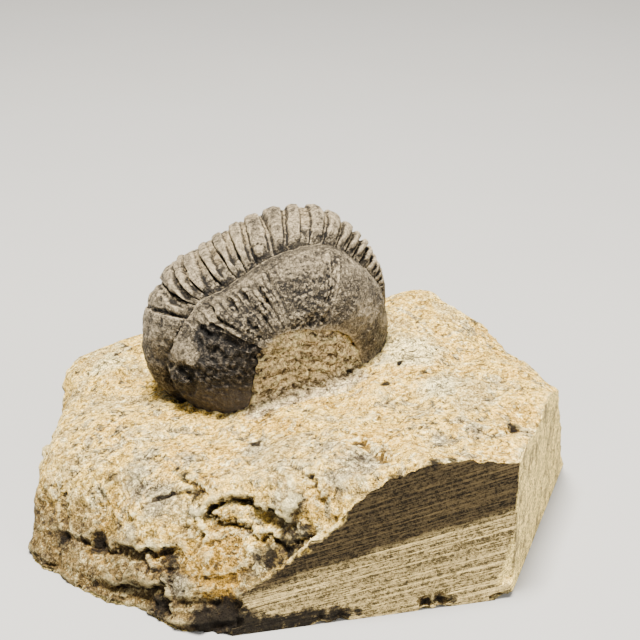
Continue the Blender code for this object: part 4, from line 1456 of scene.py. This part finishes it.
        jag = np.stack([swell(points, 1.3, seed) * 0.5 + swell(points, 0.5, seed + 3.0) * 0.22
                        for seed in (1.0, 6.0, 8.0)], axis=1)
        patchy = np.clip(0.75 + swell(points, 1.4, 5.9) * 1.1, 0.1, 1.2)
        for crack in self.cracks:
            distance, below = self.along_crack(crack, points + jag, tree, view)
            line = bump(distance, crack.width * 1.6) * patchy
            cutback = ease(1.0 - distance / crack.reach) * below * crack.ledge
            move -= line * crack.depth + cutback
            # The crack line is darkened as painted shade and dirt in the crack.
            dark = np.maximum(dark, line * 0.62)
        masks[Mark.DARK] = dark
        kept = sawn & (masks[Mark.CHIP] < 0.05)
        move = np.where(kept, np.maximum(move, 0.1 - self.spare), move)
        move = np.where(base & (masks[Mark.CHIP] < 0.05), 0.0, move)
        return points + normals * move[:, None]

    def close_gap(self, points: np.ndarray, fossil: bpy.types.Object) -> np.ndarray:
        """Bring the stone's bed up against the fossil that lies in it."""
        tree = BVHTree.FromObject(fossil, bpy.context.evaluated_depsgraph_get())
        moved = points.copy()
        reach, hold, sink = self.bed_reach, self.bed_hold, self.bed_sink
        for k in range(len(points)):
            spot = Vector(points[k]) * MM
            found, normal, _, distance = tree.find_nearest(spot, reach * MM)
            if found is None:
                continue
            outside = distance / MM
            if (spot - found).dot(normal) < 0.0:
                outside = -outside
            share = 1.0 - min(max((outside - hold) / (reach - hold), 0.0), 1.0)
            target = found - normal * sink * MM
            moved[k] = np.array(spot.lerp(target, share * share)) / MM
        return moved

    def keep_layers(self, piece: bpy.types.Object, points: np.ndarray,
                    cuts: dict[str, Cut], masks: dict) -> np.ndarray:
        """Keep what the finish reads at each point, and say which lie on a sawn face."""
        on_cut = np.zeros(len(points))
        front = np.zeros(len(points))
        for name, cut in cuts.items():
            flat = (np.abs(cut.depth(points)) < 0.03) & cut.holds(points)
            on_cut = np.maximum(on_cut, flat)
            if name.startswith("front"):
                front = np.maximum(front, flat)
        on_cut = np.maximum(on_cut, (points[:, 2] < 0.02) & (masks[Mark.CHIP] < 0.05))
        values = {"cut": on_cut, "front_cut": front, "hollow_fine": hollows(piece, 2),
                  "hollow_wide": hollows(piece, 24), "knob": masks["knob"]}
        for mark in (Mark.OCHRE, Mark.GREY, Mark.DARK, Mark.WHITE):
            values[mark.value] = masks[mark]
        for name, value in values.items():
            keep_values(piece, name, value)
        return on_cut > 0.5

    def dress(self, piece: bpy.types.Object, effects: SharedEffects) -> None:
        """Give the piece its finish, hang it under the root body and hide the imported solid."""
        along = (Vector(self.valley_right) - Vector(self.valley_left)).normalized()
        piece.data.materials.append(self.finish.material(effects, self.cuts(), along))
        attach(piece, "root")
        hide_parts(self.node)


# ------------------------------------------------------------------------------ the studio
@dataclass(frozen=True)
class Lamp:
    """A soft square light: where it stands, its side and its power."""

    name: str
    place: Place
    side: float
    power: float
    colour: Colour = (1.0, 1.0, 1.0)


@dataclass
class Studio:
    """A plain pale floor under plain soft light."""

    floor_side: float = 3000.0
    floor_colour: Colour = (0.255, 0.26, 0.265)
    sky_colour: Colour = (1.0, 0.96, 0.90)
    sky_strength: float = 0.40
    lamps: tuple[Lamp, ...] = (
        Lamp("key_light", (-25.0, -45.0, 375.0), 105.0, 11.0, (1.0, 0.93, 0.82)),
        Lamp("fill_light", (300.0, -250.0, 170.0), 220.0, 2.2, (1.0, 0.96, 0.90)),
    )

    def build(self) -> None:
        """Add the floor, the lights and the sky."""
        deselect()
        bpy.ops.mesh.primitive_plane_add(size=self.floor_side * MM)
        floor = bpy.context.object
        floor.name = "floor"
        material, graph, where = start_material("studio_floor")
        tone = graph.span(graph.cloud(where, 30.0), 0.3, 0.7, 0.0, 1.0)
        colour = graph.blend(tone, self.floor_colour, tuple(c * 0.98 for c in self.floor_colour))
        shader = graph.tree.nodes["Principled BSDF"]
        graph.tree.links.new(colour, shader.inputs["Base Color"])
        shader.inputs["Roughness"].default_value = 0.85
        floor.data.materials.append(material)
        for lamp in self.lamps:
            deselect()
            place = Vector(lamp.place) * MM
            turn = (Vector((0, 0, 10.0)) * MM - place).to_track_quat("-Z", "Y").to_euler()
            bpy.ops.object.light_add(type="AREA", location=place, rotation=turn)
            light = bpy.context.object
            light.name = lamp.name
            light.data.shape = "SQUARE"
            light.data.size = lamp.side * MM
            light.data.energy = lamp.power
            light.data.color = lamp.colour
        world = bpy.data.worlds.new("studio_sky")
        world.use_nodes = True
        sky = world.node_tree.nodes["Background"]
        sky.inputs["Color"].default_value = (*self.sky_colour, 1.0)
        sky.inputs["Strength"].default_value = self.sky_strength
        bpy.context.scene.world = world


def main() -> None:
    """Build the view, the studio, the trilobite and its block, in that order."""
    logging.basicConfig(level=logging.INFO, format="%(name)s: %(message)s")
    noise.seed_set(NOISE_SEED)
    view = Viewpoint()
    view.build()
    Studio().build()
    effects = SharedEffects()
    animal = Trilobite()
    fossil = animal.build(view)
    animal.dress(fossil, effects)
    LOG.info("trilobite dressed")
    block = LimestoneBlock()
    stone = block.build(view, fossil)
    block.dress(stone, effects)
    LOG.info("limestone dressed")


if __name__ == "__main__":
    main()
